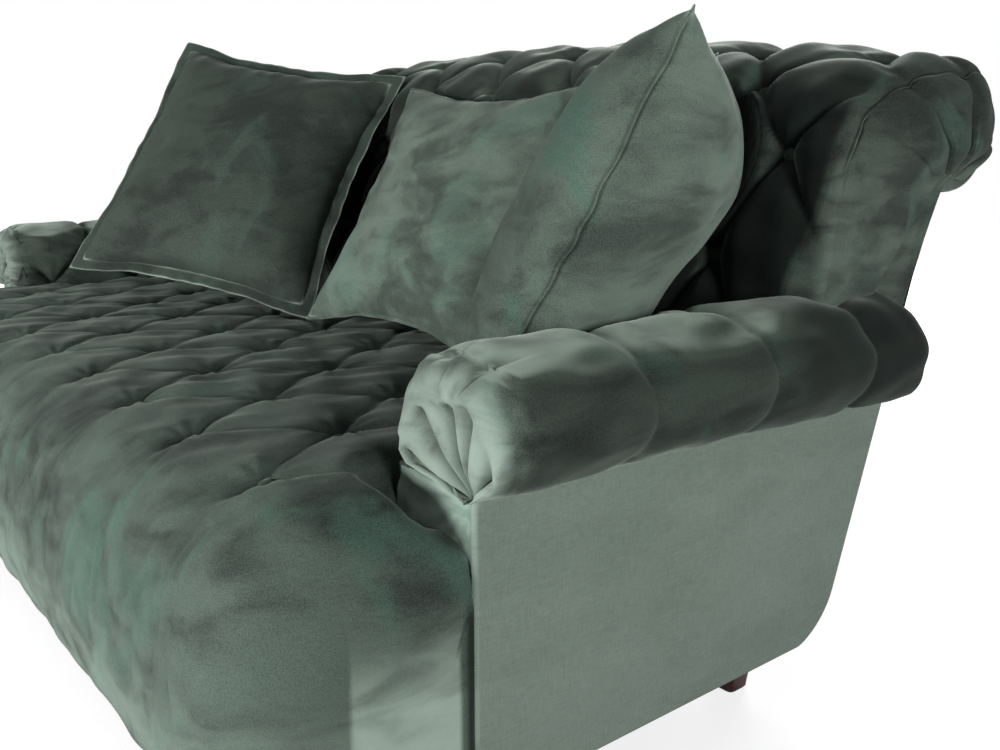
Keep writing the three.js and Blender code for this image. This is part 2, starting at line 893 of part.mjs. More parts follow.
function armPost() {
  return block(
    uprightOuter - armPostWidth,
    uprightOuter,
    armFrontY + coverThickness + 2 * fitGap,
    armFrontY + coverThickness + 2 * fitGap + armPostDepth,
    railBottom,
    armRailTop - armRailThickness - fitGap,
  );
}

// A rail of the arm from behind its facing to the raked upright.
function armRail(x0, x1, z0, z1, start, clearance) {
  const reach = (height) => rakeSetback(height) - (frameDepthBehindCover + fitGap) / Math.cos(rakeAngle);
  return sidePlate(
    [
      [armFrontY + start, z0 - clearance],
      [armFrontY + reach(z0) + clearance, z0 - clearance],
      [armFrontY + reach(z1) + clearance, z1 + clearance],
      [armFrontY + start, z1 + clearance],
    ],
    x0 - clearance,
    x1 + clearance,
  );
}

function armTopRail(clearance) {
  const start = coverThickness + 2 * fitGap;
  return armRail(armRailInner, armRailOuter, armRailTop - armRailThickness, armRailTop, start, clearance);
}

function tackRail(clearance) {
  const inner = uprightOuter - armPostWidth;
  const start = coverThickness + 3 * fitGap + armPostDepth;
  const bottom = deckHeight + fitGap;
  return armRail(inner, inner + tackRailWidth, bottom, bottom + tackRailHeight, start, clearance);
}

function backUpright(x0, x1, bottom) {
  return rakedSlab(x0, x1, bottom, uprightTop, frameBehindCover, frameDepthBehindCover);
}

// A short upright between the two long rails of the back.
function backStrut(x) {
  const bottom = backLowerRailBottom + backLowerRailHeight + fitGap;
  const top = uprightTop - backTopRailHeight - fitGap;
  return rakedSlab(
    x - uprightWidth,
    x + uprightWidth,
    bottom,
    top,
    frameBehindCover,
    frameBehindCover + railThickness,
  );
}

function backLowerRail() {
  const reach = uprightOuter - uprightWidth - fitGap;
  const top = backLowerRailBottom + backLowerRailHeight;
  const behind = frameBehindCover;
  return rakedSlab(-reach, reach, backLowerRailBottom, top, behind, behind + railThickness);
}

// The top rail of the back, its upper edge arched, lying in line with the rake.
function backTopRail(clearance) {
  const reach = uprightOuter - uprightWidth - fitGap + clearance;
  const slope = 1 / Math.cos(rakeAngle);
  const bottom = uprightTop - backTopRailHeight - clearance;
  const sections = range(archSegments + 1).map((i) => {
    const x = THREE.MathUtils.lerp(-reach, reach, i / archSegments);
    const top = uprightTop + camel(x) - railThickness + clearance;
    const near = (frameBehindCover - clearance) * slope;
    const far = (frameBehindCover + railThickness + clearance) * slope;
    return [
      [x, armFrontY + rakeSetback(bottom) - far, bottom],
      [x, armFrontY + rakeSetback(bottom) - near, bottom],
      [x, armFrontY + rakeSetback(top) - near, top],
      [x, armFrontY + rakeSetback(top) - far, top],
    ];
  });
  return loft(sections, [1, 2]);
}

function backWebStrap(x) {
  const near = frameBehindCover + railThickness + fitGap;
  const half = webStrapWidth / 2;
  const bottom = backLowerRailBottom + backLowerRailHeight - webStrapLap;
  const top = uprightTop - backTopRailHeight + webStrapLap;
  return rakedSlab(x - half, x + half, bottom, top, near, near + webStrapThickness);
}

function dustCover() {
  const top = railBottom - fitGap;
  const plan = basePlan(-coverThickness, armFrontY + rearRailSetback);
  return drilled(planPlate(plan, top - dustClothThickness, top));
}

// Seat springs

// A wire that winds from side to side along the depth of the seat, crowned in its middle.
class SinuousWire extends THREE.Curve {
  constructor(length) {
    super();
    this.length = length;
  }

  getPoint(t, target = new THREE.Vector3()) {
    const wave = Math.sin(Math.PI * springBends * t);
    const lift = springCrown * Math.sin(Math.PI * t);
    return target.set(springAmplitude * wave, this.length * t, lift);
  }
}

function seatSpring() {
  const span = rearRailSetback - frontRailSetback - railThickness + 2 * springEndRun;
  const section = new THREE.Shape(
    range(springWireSides).map((i) => {
      const angle = (Math.PI * (2 * i + 1)) / springWireSides;
      return new THREE.Vector2(springWire * Math.cos(angle), springWire * Math.sin(angle));
    }),
  );
  const wire = new THREE.ExtrudeGeometry(section, {
    steps: springBends * springStepsPerBend,
    bevelEnabled: false,
    extrudePath: new SinuousWire(span),
  });
  wire.translate(0, -span / 2, 0);
  const clips = [-1, 1].map((end) => {
    const middle = (end * (span - springEndRun)) / 2;
    return block(
      -springClipWidth / 2,
      springClipWidth / 2,
      middle - springClipLength / 2,
      middle + springClipLength / 2,
      -springWire,
      springClipThickness - springWire,
    );
  });
  return join(wire, ...clips);
}

// Feet

const footTop = railBottom - dustClothThickness - 2 * fitGap;

function foot() {
  const sections = range(footSteps + 1).map((i) => {
    const share = i / footSteps;
    const half = THREE.MathUtils.lerp(footBottomSide, footTopSide, share ** footFlare) / 2;
    const chamfer = half * footChamferShare;
    const z = share * footTop;
    return [
      [half - chamfer, -half, z],
      [half, chamfer - half, z],
      [half, half - chamfer, z],
      [half - chamfer, half, z],
      [chamfer - half, half, z],
      [-half, half - chamfer, z],
      [-half, chamfer - half, z],
      [chamfer - half, -half, z],
    ];
  });
  const hole = boltRod(boltRadius + fitGap, boltBottom - fitGap, footTop + cutOverrun);
  return cut(loft(sections, [0, 1]), hole);
}

function boltRod(radius, z0, z1) {
  const rod = new THREE.CylinderGeometry(radius, radius, z1 - z0, boltSides);
  rod.rotateX(Math.PI / 2);
  rod.translate(0, 0, (z0 + z1) / 2);
  return rod;
}

const boltBottom = footHeight - boltIntoFoot;
const boltTop = railBottom + boltIntoBlock;
const footX = halfWidth - footInset - footTopSide / 2;
const behindFrontRail = frontRailSetback + railThickness;
const footRows = {
  front: { y: armFrontY + behindFrontRail + footTopSide / 2, corner: behindFrontRail + fitGap, deep: 1 },
  rear: { y: armFrontY + rearFootSetback, corner: rearRailSetback - fitGap, deep: -1 },
};

// Holes for the bolts of all four feet.
function drilled(geometry) {
  const holes = Object.values(sides).flatMap((side) =>
    Object.values(footRows).map(({ y }) => {
      const hole = boltRod(boltRadius + fitGap, 0, boltTop + fitGap);
      hole.translate(side * footX, y, 0);
      return hole;
    }),
  );
  return cut(geometry, ...holes);
}

// Buttons

// A covered button of the right arm, domed toward the seat.
function armButton(step, clearance) {
  const radius = buttonRadius + clearance;
  const profile = [new THREE.Vector2(0, -clearance), new THREE.Vector2(radius, -clearance)];
  range(buttonSteps + 1).forEach((i) => {
    const turn = (i / buttonSteps) * (Math.PI / 2);
    const rise = buttonRimShare + (1 - buttonRimShare) * Math.sin(turn);
    const reach = i === buttonSteps ? 0 : radius * Math.cos(turn);
    profile.push(new THREE.Vector2(reach, (buttonHeight + clearance) * rise));
  });
  const dome = new THREE.LatheGeometry(profile, buttonSides);
  dome.rotateZ(Math.PI / 2);
  const setback = armLowerTuftSetback + step * armTuftPitch;
  dome.translate(armInnerHalfWidth + armTuftDepth - buttonSink, armFrontY + setback, armLowerTuftHeight);
  return dome;
}

// Loose cushions

// A square cushion with a crown on both faces and sides that draw in between its corners.
function cushionForm(side, thickness, growth) {
  const half = side / 2 + growth;
  const rows = range(cushionCells + 1).map((i) => -1 + (2 * i) / cushionCells);
  const points = [];
  const triangles = [];
  const index = (layer, i, j) => (layer * (cushionCells + 1) + i) * (cushionCells + 1) + j;
  for (const layer of [1, -1])
    for (const v of rows)
      for (const u of rows) {
        const drawIn = cushionDrawIn / half;
        const fall = [u, v].map((share) => 1 - Math.abs(share) ** cushionShoulder);
        const puff = (fall[0] * fall[1]) ** cushionPuff;
        const lift = growth + (cushionFlange + (thickness - cushionFlange) * puff) / 2;
        points.push([
          half * u * (1 - drawIn * (1 - v * v)),
          layer * lift,
          half * v * (1 - drawIn * (1 - u * u)),
        ]);
      }
  range(cushionCells).forEach((i) =>
    range(cushionCells).forEach((j) => {
      const quad = [index(0, i, j), index(0, i, j + 1), index(0, i + 1, j + 1), index(0, i + 1, j)];
      const back = [index(1, i, j), index(1, i, j + 1), index(1, i + 1, j + 1), index(1, i + 1, j)];
      triangles.push([quad[0], quad[1], quad[2]], [quad[0], quad[2], quad[3]]);
      triangles.push([back[0], back[2], back[1]], [back[0], back[3], back[2]]);
    }),
  );
  const edge = [
    ...range(cushionCells).map((k) => [0, k]),
    ...range(cushionCells).map((k) => [k, cushionCells]),
    ...range(cushionCells).map((k) => [cushionCells, cushionCells - k]),
    ...range(cushionCells).map((k) => [cushionCells - k, 0]),
  ];
  edge.forEach(([i, j], k) => {
    const [m, n] = edge[(k + 1) % edge.length];
    triangles.push([index(0, i, j), index(1, m, n), index(0, m, n)]);
    triangles.push([index(0, i, j), index(1, i, j), index(1, m, n)]);
  });
  const geometry = new THREE.BufferGeometry();
  geometry.setAttribute("position", new THREE.Float32BufferAttribute(points.flat(), 3));
  geometry.setIndex((volumeOf(points, triangles) < 0 ? turnedRound(triangles) : triangles).flat());
  return geometry;
}

// A cushion where it rests: rolled in its own plane, leant back, then turned about the upright.
function restingCushion(cushion, growth) {
  const { side, thickness, across, ahead, rise } = cushion.shares;
  const form = cushionForm(armInnerHalfWidth * side, armInnerHalfWidth * thickness, growth);
  form.rotateY(THREE.MathUtils.degToRad(cushion.roll));
  form.rotateX(THREE.MathUtils.degToRad(-cushion.lean));
  form.rotateZ(THREE.MathUtils.degToRad(cushion.turn));
  form.translate(
    armInnerHalfWidth * across,
    armFrontY + backFaceSetback - armInnerHalfWidth * ahead,
    seatCrest + armInnerHalfWidth * rise,
  );
  return form;
}

// Assembly

const dents = looseCushions.map((cushion) => restingCushion(cushion, fitGap));

// The way up out of each dent, for the arms, which overhang a cushion's lower corner.
const liftWays = looseCushions.flatMap((cushion) =>
  range(cushionLiftSteps).map((i) => {
    const raised = restingCushion(cushion, fitGap);
    raised.translate(0, 0, (i + 1) * cushionLiftStep);
    return raised;
  }),
);

function buildBase(group) {
  const rearReach = sideRailInner - fitGap;
  const front = longRail(frontRailHalfLength, frontRailSetback, railThickness, railBottom, deepRailHeight);
  const rear = longRail(rearReach, rearRailSetback, railThickness, railBottom, deepRailHeight);
  place(group, "front_rail", front, timber);
  place(group, "rear_rail", rear, timber);
  place(group, "dust_cover", dustCover(), dustCloth);
  for (const [label, side] of Object.entries(sides)) {
    place(group, label + "_side_rail", sided(side, sideRail()), timber);
    place(group, label + "_cross_rail", crossRail(side * crossRailOffset), timber);
  }
}

function buildFeet(group) {
  for (const [label, side] of Object.entries(sides))
    for (const [row, { y, corner, deep }] of Object.entries(footRows)) {
      const name = label + "_" + row;
      const bolt = boltRod(boltRadius, boltBottom, boltTop);
      place(group, name + "_corner_block", sided(side, cornerBlock(corner, deep)), timber);
      place(group, name + "_foot", foot(), footTimber).position.set(side * footX, y, 0);
      place(group, name + "_foot_bolt", bolt, steel).position.set(side * footX, y, 0);
    }
}

function buildSeat(group) {
  const middle = armFrontY + (behindFrontRail + rearRailSetback) / 2;
  place(group, "seat_pad", seatPad(), velvet);
  range(springs).forEach((i) => {
    const across = (i - (springs - 1) / 2) * springPitch;
    const spring = place(group, "seat_spring_" + (i + 1), seatSpring(), steel);
    spring.position.set(across, middle, deckHeight + springWire + fitGap);
  });
}

function buildBack(group) {
  const inner = uprightOuter - uprightWidth;
  place(group, "back_lower_rail", backLowerRail(), timber);
  place(group, "back_top_rail", backTopRail(0), timber);
  place(group, "back_pad", backPad(), velvet);
  place(group, "outside_back_panel", outsideBackPanel(), plainVelvet);
  for (const [label, side] of Object.entries(sides)) {
    const upright = backUpright(inner, uprightOuter, uprightBottom);
    place(group, label + "_back_upright", sided(side, upright), timber);
    place(group, label + "_back_strut", backStrut(side * 2 * tuftPitch), timber);
  }
  range(webStraps).forEach((i) => {
    const across = (2 * i + 1 - webStraps) * tuftPitch;
    place(group, "back_web_strap_" + (i + 1), backWebStrap(across), webbing);
  });
}

function buildArm(group, label, side) {
  place(group, label + "_arm_post", sided(side, armPost()), timber);
  place(group, label + "_arm_top_rail", sided(side, armTopRail(0)), timber);
  place(group, label + "_arm_tack_rail", sided(side, tackRail(0)), timber);
  place(group, label + "_arm_pad", armPad(side), velvet);
  place(group, label + "_outside_arm_panel", sided(side, outsideArmPanel()), plainVelvet);
  place(group, label + "_arm_facing", sided(side, armFacing()), plainVelvet);
  range(armTufts).forEach((step) => {
    place(group, label + "_arm_button_" + (step + 1), sided(side, armButton(step, 0)), plainVelvet);
  });
}

function buildCushions(group) {
  for (const cushion of looseCushions) place(group, cushion.name, restingCushion(cushion, 0), velvet);
}

const sofa = new THREE.Group();
buildBase(sofa);
buildFeet(sofa);
buildSeat(sofa);
buildBack(sofa);
for (const [label, side] of Object.entries(sides)) buildArm(sofa, label, side);
buildCushions(sofa);

export default sofa;
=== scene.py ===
"""Deep-buttoned velvet chesterfield sofa: upholstery, cushions, finishes, light and camera."""

import logging
import math
from dataclasses import dataclass
from enum import Enum
from typing import Callable, Sequence

import bmesh
import bpy
import numpy as np
from mathutils import Euler, Matrix, Vector


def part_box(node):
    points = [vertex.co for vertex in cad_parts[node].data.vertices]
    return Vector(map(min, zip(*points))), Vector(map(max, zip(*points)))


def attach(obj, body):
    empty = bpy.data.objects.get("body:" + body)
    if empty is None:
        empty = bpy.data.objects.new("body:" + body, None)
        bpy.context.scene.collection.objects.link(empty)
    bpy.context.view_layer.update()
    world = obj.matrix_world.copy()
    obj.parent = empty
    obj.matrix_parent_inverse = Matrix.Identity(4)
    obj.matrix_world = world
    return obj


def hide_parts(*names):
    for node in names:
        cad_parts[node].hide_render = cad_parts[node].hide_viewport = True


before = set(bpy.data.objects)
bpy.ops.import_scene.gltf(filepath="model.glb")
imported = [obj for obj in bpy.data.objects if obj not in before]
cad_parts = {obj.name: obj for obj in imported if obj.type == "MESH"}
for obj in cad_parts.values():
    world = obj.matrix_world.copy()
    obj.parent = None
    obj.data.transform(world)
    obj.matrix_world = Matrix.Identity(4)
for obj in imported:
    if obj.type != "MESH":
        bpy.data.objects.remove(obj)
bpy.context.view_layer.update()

Array = np.ndarray
Faces = list[tuple[int, ...]]
Piece = bpy.types.Object
Socket = bpy.types.NodeSocket

LOG = logging.getLogger("sofa")
MM = 0.001
ROOT = "sofa"
SIDES = {"left": -1.0, "right": 1.0}

# Shared sizes in millimetres; depths run back from the plane of the arm fronts.
ARM_FRONT_Y = -356.0
HALF_WIDTH = 1037.0
ARM_INNER = 882.0
FOOT_HEIGHT = 66.0
SEAM_HEIGHT = 426.0
COVER = 6.0
RAKE = math.tan(math.radians(18.2))
BACK_SEAM = (853.0, 720.0)
FACE_START = (545.0, 450.0)
FACE_SLOPE = 0.12
ARCH_RISE, ARCH_SPAN = 67.0, 1000.0
BASE_CORNER = 72.0
FRONT_CORNER = 130.0
FOOT_X, FRONT_FOOT_Y, REAR_FOOT_Y = 970.0, -154.0, 515.0
QUARTER = math.pi / 2.0
# The first and the last loop of a body, and whether a cap closes it at its end.
ENDS = ((0, False), (-1, True))

# How the cushions press on the upholstery, and how far cloth may leave the plain form.
DENT_CLEARANCE, DENT_STEP, DENT_STEPS = 5.5, 2.5, 45
CLOTH_FRAMES, CLOTH_REACH = 22, 24.0
CLOTH_SHARE = (0.5, 0.75, 0.5)
EASE_TURNS, EASE_KEPT, EASE_IN, EASE_OUT = 22, 8, 0.6, -0.62
CLOTH_SETTINGS = {
    "quality": 6,
    "mass": 0.25,
    "tension_stiffness": 22.0,
    "compression_stiffness": 14.0,
    "shear_stiffness": 9.0,
    "bending_stiffness": 0.6,
    "use_pressure": True,
    "uniform_pressure_force": 11.0,
}


# Shapes


def smooth(value: Array | float) -> Array:
    """Eased step from 0 to 1."""
    share = np.clip(value, 0.0, 1.0)
    return share * share * (3.0 - 2.0 * share)


def bell(distance: Array, spread: float) -> Array:
    """Rounded bump that is 1 at no distance."""
    return np.exp(-((distance / spread) ** 2))


def side_share(x: Array | float, length: float) -> Array:
    """How far a place lies along a stretch that ends at the side of the sofa."""
    return np.clip((np.abs(x) - HALF_WIDTH) / length + 1.0, 0.0, 1.0)


def camel(x: Array | float) -> Array:
    """Rise of the arched back above its ends."""
    share = np.abs(x) / ARCH_SPAN
    return ARCH_RISE * (1.0 - share * share)


def rake_setback(height: Array | float) -> Array:
    """Depth of the raked rear face at a height."""
    return BACK_SEAM[0] + (height - BACK_SEAM[1]) * RAKE


def back_face(height: Array | float) -> Array:
    """Depth of the front of the back at a height."""
    return FACE_START[0] + (height - FACE_START[1]) * FACE_SLOPE


def ripples(u: Array, v: Array, length: float, seed: int, waves: int = 9) -> Array:
    """Smooth unevenness between about -1 and 1.

    Args:
        u: First coordinate, in millimetres.
        v: Second coordinate, in millimetres.
        length: Typical length of a wave.
        seed: Choice of pattern.
        waves: Number of plane waves in the sum.

    Returns:
        The height of the pattern at each place.
    """
    rng = np.random.default_rng(seed)
    total = np.zeros(np.broadcast(u, v).shape)
    for _ in range(waves):
        turn = rng.uniform(0.0, math.tau)
        rate = math.tau / (length * rng.uniform(0.7, 1.6))
        along = u * math.cos(turn) + v * math.sin(turn)
        total += np.sin(along * rate + rng.uniform(0.0, math.tau))
    return total / math.sqrt(waves)


def fan_folds(spots: Array, apex: tuple[float, float], fan: Sequence[float]) -> Array:
    """Depth, from 0 to 1, of pleats that fan out from one corner.

    Args:
        spots: Places in a flat view.
        apex: The corner where the pleats meet.
        fan: Direction of each pleat, in degrees round from the second axis.

    Returns:
        The share of the full depth at each place.
    """
    angle = np.degrees(np.arctan2(spots[:, 1] - apex[1], apex[0] - spots[:, 0]))
    depth = np.zeros(len(spots))
    for fold in fan:
        past = (angle - fold + 180.0) % 360.0 - 180.0
        depth += np.where(past > 0.0, np.exp(-past / 2.2), np.exp(past / 12.0))
    return np.minimum(1.0, depth)


def walked(path: Array) -> Array:
    """Distance along a line at each of its points."""
    return np.concatenate([[0.0], np.cumsum(np.hypot(*np.diff(path, axis=0).T))])


def point_at(distance: Array | float, path: Array, values: Array) -> Array:
    """Values given at a line's points, read at distances along it."""
    along = walked(path)
    return np.stack([np.interp(distance, along, values[:, k]) for k in range(2)], axis=-1)


def resampled(path: Array, count: int) -> Array:
    """The same line through evenly spaced points."""
    return point_at(np.linspace(0.0, walked(path)[-1], count), path, path)


def outward(path: Array, hand: float) -> Array:
    """Unit normals of a line in the side view; hand chooses the side.

    Args:
        path: Points of the line.
        hand: 1 or -1, for the side that faces out.

    Returns:
        One unit normal for each point.
    """
    along = np.gradient(path, axis=0)
    along /= np.maximum(np.hypot(along[:, 0], along[:, 1]), 1e-9)[:, None]
    return hand * np.column_stack([-along[:, 1], along[:, 0]])


@dataclass(frozen=True)
class Tufting:
    """A field of buttons in staggered rows, with pleats beyond its first and last row."""

    pitch: float
    row: float
    depth: float
    rows: int
    crease: float = 0.56
    button_spread: float = 44.0
    wrinkle: float = 1.5
    flatness: float = 2.6
    seed: int = 3

    def _pillow(self, turns: Array) -> Array:
        """Height across one pillow, 0 in the crease and 1 in the middle."""
        offset = 2.0 * np.abs(turns - np.round(turns))
        return (1.0 - (1.0 - offset) ** self.flatness) ** 0.6

    def _once(self, across: Array, along: Array) -> Array:
        """Depth of the skin below its crest at places counted in millimetres.

        Args:
            across: Places across the field.
            along: Places up the field, from its first row.

        Returns:
            The depth at each place.
        """
        a = across / self.pitch
        b = along / self.row
        held = np.clip(b, 0.0, float(self.rows))
        first, second = a + held / 2.0, a - held / 2.0
        top = (self._pillow(first) * self._pillow(second)) ** 0.72
        near_a = (np.round(first) + np.round(second)) / 2.0
        near_b = np.round(first) - np.round(second)
        off_a = (a - near_a) * self.pitch
        off_b = (b - near_b) * self.row
        reach = np.hypot(off_a, off_b)
        near = np.exp(-((reach / self.button_spread) ** 2))
        sunk = self.depth * (1.0 - top) * (self.crease + (1.0 - self.crease) * near)
        turn = np.arctan2(off_b, off_a)
        rays = np.cos(9.0 * turn + 2.3 * near_a + 1.7 * near_b)
        ring = np.clip(reach / 16.0, 0.0, 1.0) * np.exp(-((reach / 52.0) ** 2))
        return sunk + self.wrinkle * rays * ring

    def depth_at(self, across: Array, along: Array) -> Array:
        """Depth averaged over a few millimetres, so that creases stay smooth on the mesh.

        Args:
            across: Places across the field.
            along: Places up the field, from its first row.

        Returns:
            The depth at each place, in millimetres.
        """
        total = self._once(across, along)
        reach = 2.4
        for da, db in ((reach, 0.0), (-reach, 0.0), (0.0, reach), (0.0, -reach)):
            total = total + self._once(across + da, along + db)
        uneven = ripples(across, along, 95.0, self.seed) * 0.05 * self.depth
        return total / 5.0 + uneven

    def buttons(self, limit: float, phase: float = 0.0) -> list[tuple[float, float]]:
        """Places of the buttons, across and along, inside a half width.

        Args:
            limit: Half width that holds buttons.
            phase: Shift of the first row, as a share of the pitch.

        Returns:
            Places of the buttons, in millimetres.
        """
        places = []
        for row in range(self.rows + 1):
            for step in range(-12, 13):
                across = (step + phase + (row % 2) / 2.0) * self.pitch
                if abs(across) < limit:
                    places.append((across, row * self.row))
        return places


def stations_across(turned: float, spacing: float, steps: int) -> Array:
    """Places across the sofa, closer together where its sides turn.

    Args:
        turned: Width of the rounded stretch at each side.
        spacing: Distance between places on the flat stretch.
        steps: Number of places on a rounded stretch.

    Returns:
        The places, from the left side to the right.
    """
    flat = HALF_WIDTH - turned
    middle = np.linspace(0.0, flat, int(round(flat / spacing)) + 1)
    half = np.concatenate([middle, flat + turned * np.sin(np.linspace(0.0, QUARTER, steps)[1:])])
    return np.concatenate([-half[:0:-1], half])


def graded(count: int, ends: float) -> Array:
    """Shares from 0 to 1, closer together at both ends."""
    even = np.linspace(0.0, 1.0, count)
    return (1.0 - ends) * even + ends * smooth(even)


def panel_grid(rows: int, columns: int, ends: float = 0.55) -> tuple[Array, Array]:
    """Shares down and across a panel, closer together at its edges."""
    across, down = np.meshgrid(graded(columns, ends), graded(rows, ends))
    return down, across


def edge_distance(down: Array, across: Array, spans: tuple[float, float]) -> Array:
    """How far each place of a panel lies from its nearest edge."""
    near_down = np.minimum(down, 1.0 - down) * spans[0]
    return np.minimum(near_down, np.minimum(across, 1.0 - across) * spans[1])


def edge_drop(edge: Array, radius: float) -> Array:
    """How far a panel's skin falls back near its edges."""
    left = np.clip(radius - edge, 0.0, radius)
    return radius - np.sqrt(radius**2 - left**2)


def base_tuck(height: Array, foot: float) -> Array:
    """How far the rounded lower rear corner stands in front of the rake."""
    cut = np.clip(1.0 - (height - foot) / BASE_CORNER, 0.0, 1.0)
    return BASE_CORNER * (1.0 - np.sqrt(1.0 - cut * cut))


def backed(skin: Array, normal: Array, hidden: Array) -> tuple[Array, Array]:
    """Closes one column of upholstery behind its skin.

    Args:
        skin: Side view of the seen surface.
        normal: Its outward normals.
        hidden: Side view of the surface behind it.

    Returns:
        The closed loop, and the way in which each of its points gives in to a cushion.
    """
    loop = np.concatenate([skin, hidden])
    inward = np.zeros((len(loop), 3))
    inward[: len(skin), 1:] = -normal
    return loop, inward


# Meshes


def to_frame(points: Array) -> Array:
    """Millimetres behind the arm fronts, turned into metres of the shared frame.

    Args:
        points: Places in millimetres behind the arm fronts.

    Returns:
        The same places, in metres.
    """
    moved = np.array(points, dtype=float)
    moved[..., 1] += ARM_FRONT_Y
    return moved * MM


def strip_faces(rows: int, columns: int, wrap: bool, start: int = 0) -> Faces:
    """Quads of a grid of points, closed round its columns if wrap is set.

    Args:
        rows: Number of rows of points.
        columns: Number of points in a row.
        wrap: Whether the last column joins the first.
        start: Index of the first point.

    Returns:
        Vertex indices of each quad.
    """
    faces = []
    last = columns if wrap else columns - 1
    for i in range(rows - 1):
        base = start + i * columns
        for j in range(last):
            k = (j + 1) % columns
            faces.append((base + j, base + k, base + columns + k, base + columns + j))
    return faces


def linked(name: str, data: bpy.types.ID) -> Piece:
    """A new object in the scene, at the origin.

    Args:
        name: Name of the object.
        data: Its mesh, lamp or camera.

    Returns:
        The object.
    """
    obj = bpy.data.objects.new(name, data)
    bpy.context.scene.collection.objects.link(obj)
    return obj


def from_bmesh(name: str, work: bmesh.types.BMesh) -> Piece:
    """A smooth-shaded object made of a mesh under construction.

    Args:
        name: Name of the piece.
        work: The mesh under construction, which is used up.

    Returns:
        The object.
    """
    mesh = bpy.data.meshes.new(name)
    work.to_mesh(mesh)
    work.free()
    mesh.polygons.foreach_set("use_smooth", [True] * len(mesh.polygons))
    return linked(name, mesh)


def applied(obj: Piece) -> Piece:
    """The object with its modifiers turned into plain mesh.

    Args:
        obj: The object, with its modifiers.

    Returns:
        The same object.
    """
    plain = bpy.data.meshes.new_from_object(obj.evaluated_get(bpy.context.evaluated_depsgraph_get()))
    obj.modifiers.clear()
    obj.data = plain
    return obj


def vertex_rows(mesh: bpy.types.Mesh, kind: str) -> Array:
    """Places ("co") or normals ("normal") of a mesh's vertices, one row each.

    Args:
        mesh: The mesh.
        kind: The property to read.

    Returns:
        One row of three numbers for each vertex.
    """
    values = np.zeros(len(mesh.vertices) * 3)
    mesh.vertices.foreach_get(kind, values)
    return values.reshape(-1, 3)


def store(mesh: bpy.types.Mesh, name: str, values: Array) -> None:
    """Keeps one value for each vertex, for the materials to read."""
    mesh.attributes.new(name, "FLOAT", "POINT").data.foreach_set("value", values)


def make_object(name: str, points: Array, faces: Sequence[Sequence[int]]) -> Piece:
    """A smooth-shaded object whose faces point outwards.

    Args:
        name: Name of the piece.
        points: Vertices in metres.
        faces: Vertex indices of each face.

    Returns:
        The object, linked to the scene at the origin.
    """
    mesh = bpy.data.meshes.new(name)
    mesh.from_pydata(points.reshape(-1, 3).tolist(), [], faces)
    work = bmesh.new()
    work.from_mesh(mesh)
    bmesh.ops.remove_doubles(work, verts=work.verts, dist=2e-5)
    bmesh.ops.recalc_face_normals(work, faces=work.faces)
    if work.calc_volume(signed=True) < 0.0:
        bmesh.ops.reverse_faces(work, faces=work.faces)
    bpy.data.meshes.remove(mesh)
    return from_bmesh(name, work)


def mark_relief(obj: Piece) -> None:
    """Stores how sharply the surface bends at each vertex, positive on ridges, per metre.

    Args:
        obj: The piece, in its final shape.
    """
    mesh = obj.data
    count = len(mesh.vertices)
    places, normals = vertex_rows(mesh, "co"), vertex_rows(mesh, "normal")
    ends = np.zeros(len(mesh.edges) * 2, dtype=np.int64)
    mesh.edges.foreach_get("vertices", ends)
    a, b = ends.reshape(-1, 2).T
    span = places[a] - places[b]
    length = np.maximum(np.einsum("ij,ij->i", span, span), 4e-6)
    bend = np.einsum("ij,ij->i", normals[a] - normals[b], span) / length
    number = np.maximum(np.bincount(a, minlength=count) + np.bincount(b, minlength=count), 1)
    relief = np.zeros(count)
    for spread in range(3):
        if spread:
            bend = (relief[a] + relief[b]) / 2.0
        total = np.bincount(a, weights=bend, minlength=count) + np.bincount(b, weights=bend, minlength=count)
        relief = total / number
    store(mesh, "relief", relief)


class Shell:
    """A closed body made of loops of points, with fans over its two ends."""

    def __init__(self, loops: Array) -> None:
        """Joins the loops into a wall.

        Args:
            loops: The loops, one after another.
        """
        self.points = list(loops.reshape(-1, 3))
        self.rows, self.columns = loops.shape[:2]
        self.faces = strip_faces(self.rows, self.columns, wrap=True)

    def add_cap(self, rings: Array, apex: Array, at_end: bool) -> None:
        """Closes one end by inner rings and a last point.

        Args:
            rings: Rings of points from the end loop inwards, which may be none.
            apex: The point in the middle.
            at_end: Whether the last loop is closed, not the first.
        """
        edge = (self.rows - 1) * self.columns if at_end else 0
        outer = list(range(edge, edge + self.columns))
        for ring in rings:
            inner = list(range(len(self.points), len(self.points) + self.columns))
            self.points.extend(ring)
            self._bridge(outer, inner)
            outer = inner
        tip = len(self.points)
        self.points.append(apex)
        for j in range(self.columns):
            self.faces.append((outer[j], outer[(j + 1) % self.columns], tip))

    def _bridge(self, outer: list[int], inner: list[int]) -> None:
        """Joins two rings of points.

        Args:
            outer: Vertex indices of one ring.
            inner: Vertex indices of the next.
        """
        for j in range(self.columns):
            k = (j + 1) % self.columns
            self.faces.append((outer[j], outer[k], inner[k], inner[j]))

    def build(self, name: str) -> Piece:
        """The finished object."""
        return make_object(name, to_frame(np.array(self.points)), self.faces)


def panel_object(name: str, front: Array, back: Array) -> Piece:
    """A closed panel between two grids of points of the same size.

    Args:
        name: Name of the piece.
        front: Points of the seen side, in millimetres.
        back: Points of the hidden side.

    Returns:
        The object.
    """
    rows, columns = front.shape[:2]
    count = rows * columns
    faces = strip_faces(rows, columns, wrap=False)
    faces += [tuple(reversed(f)) for f in strip_faces(rows, columns, False, count)]
    rim = list(range(columns))
    rim += [i * columns + columns - 1 for i in range(1, rows)]
    rim += [(rows - 1) * columns + j for j in range(columns - 2, -1, -1)]
    rim += [i * columns for i in range(rows - 2, 0, -1)]
    for k, a in enumerate(rim):
        b = rim[(k + 1) % len(rim)]
        faces.append((b, a, a + count, b + count))
    points = np.concatenate([front.reshape(-1, 3), back.reshape(-1, 3)])
    return make_object(name, to_frame(points), faces)


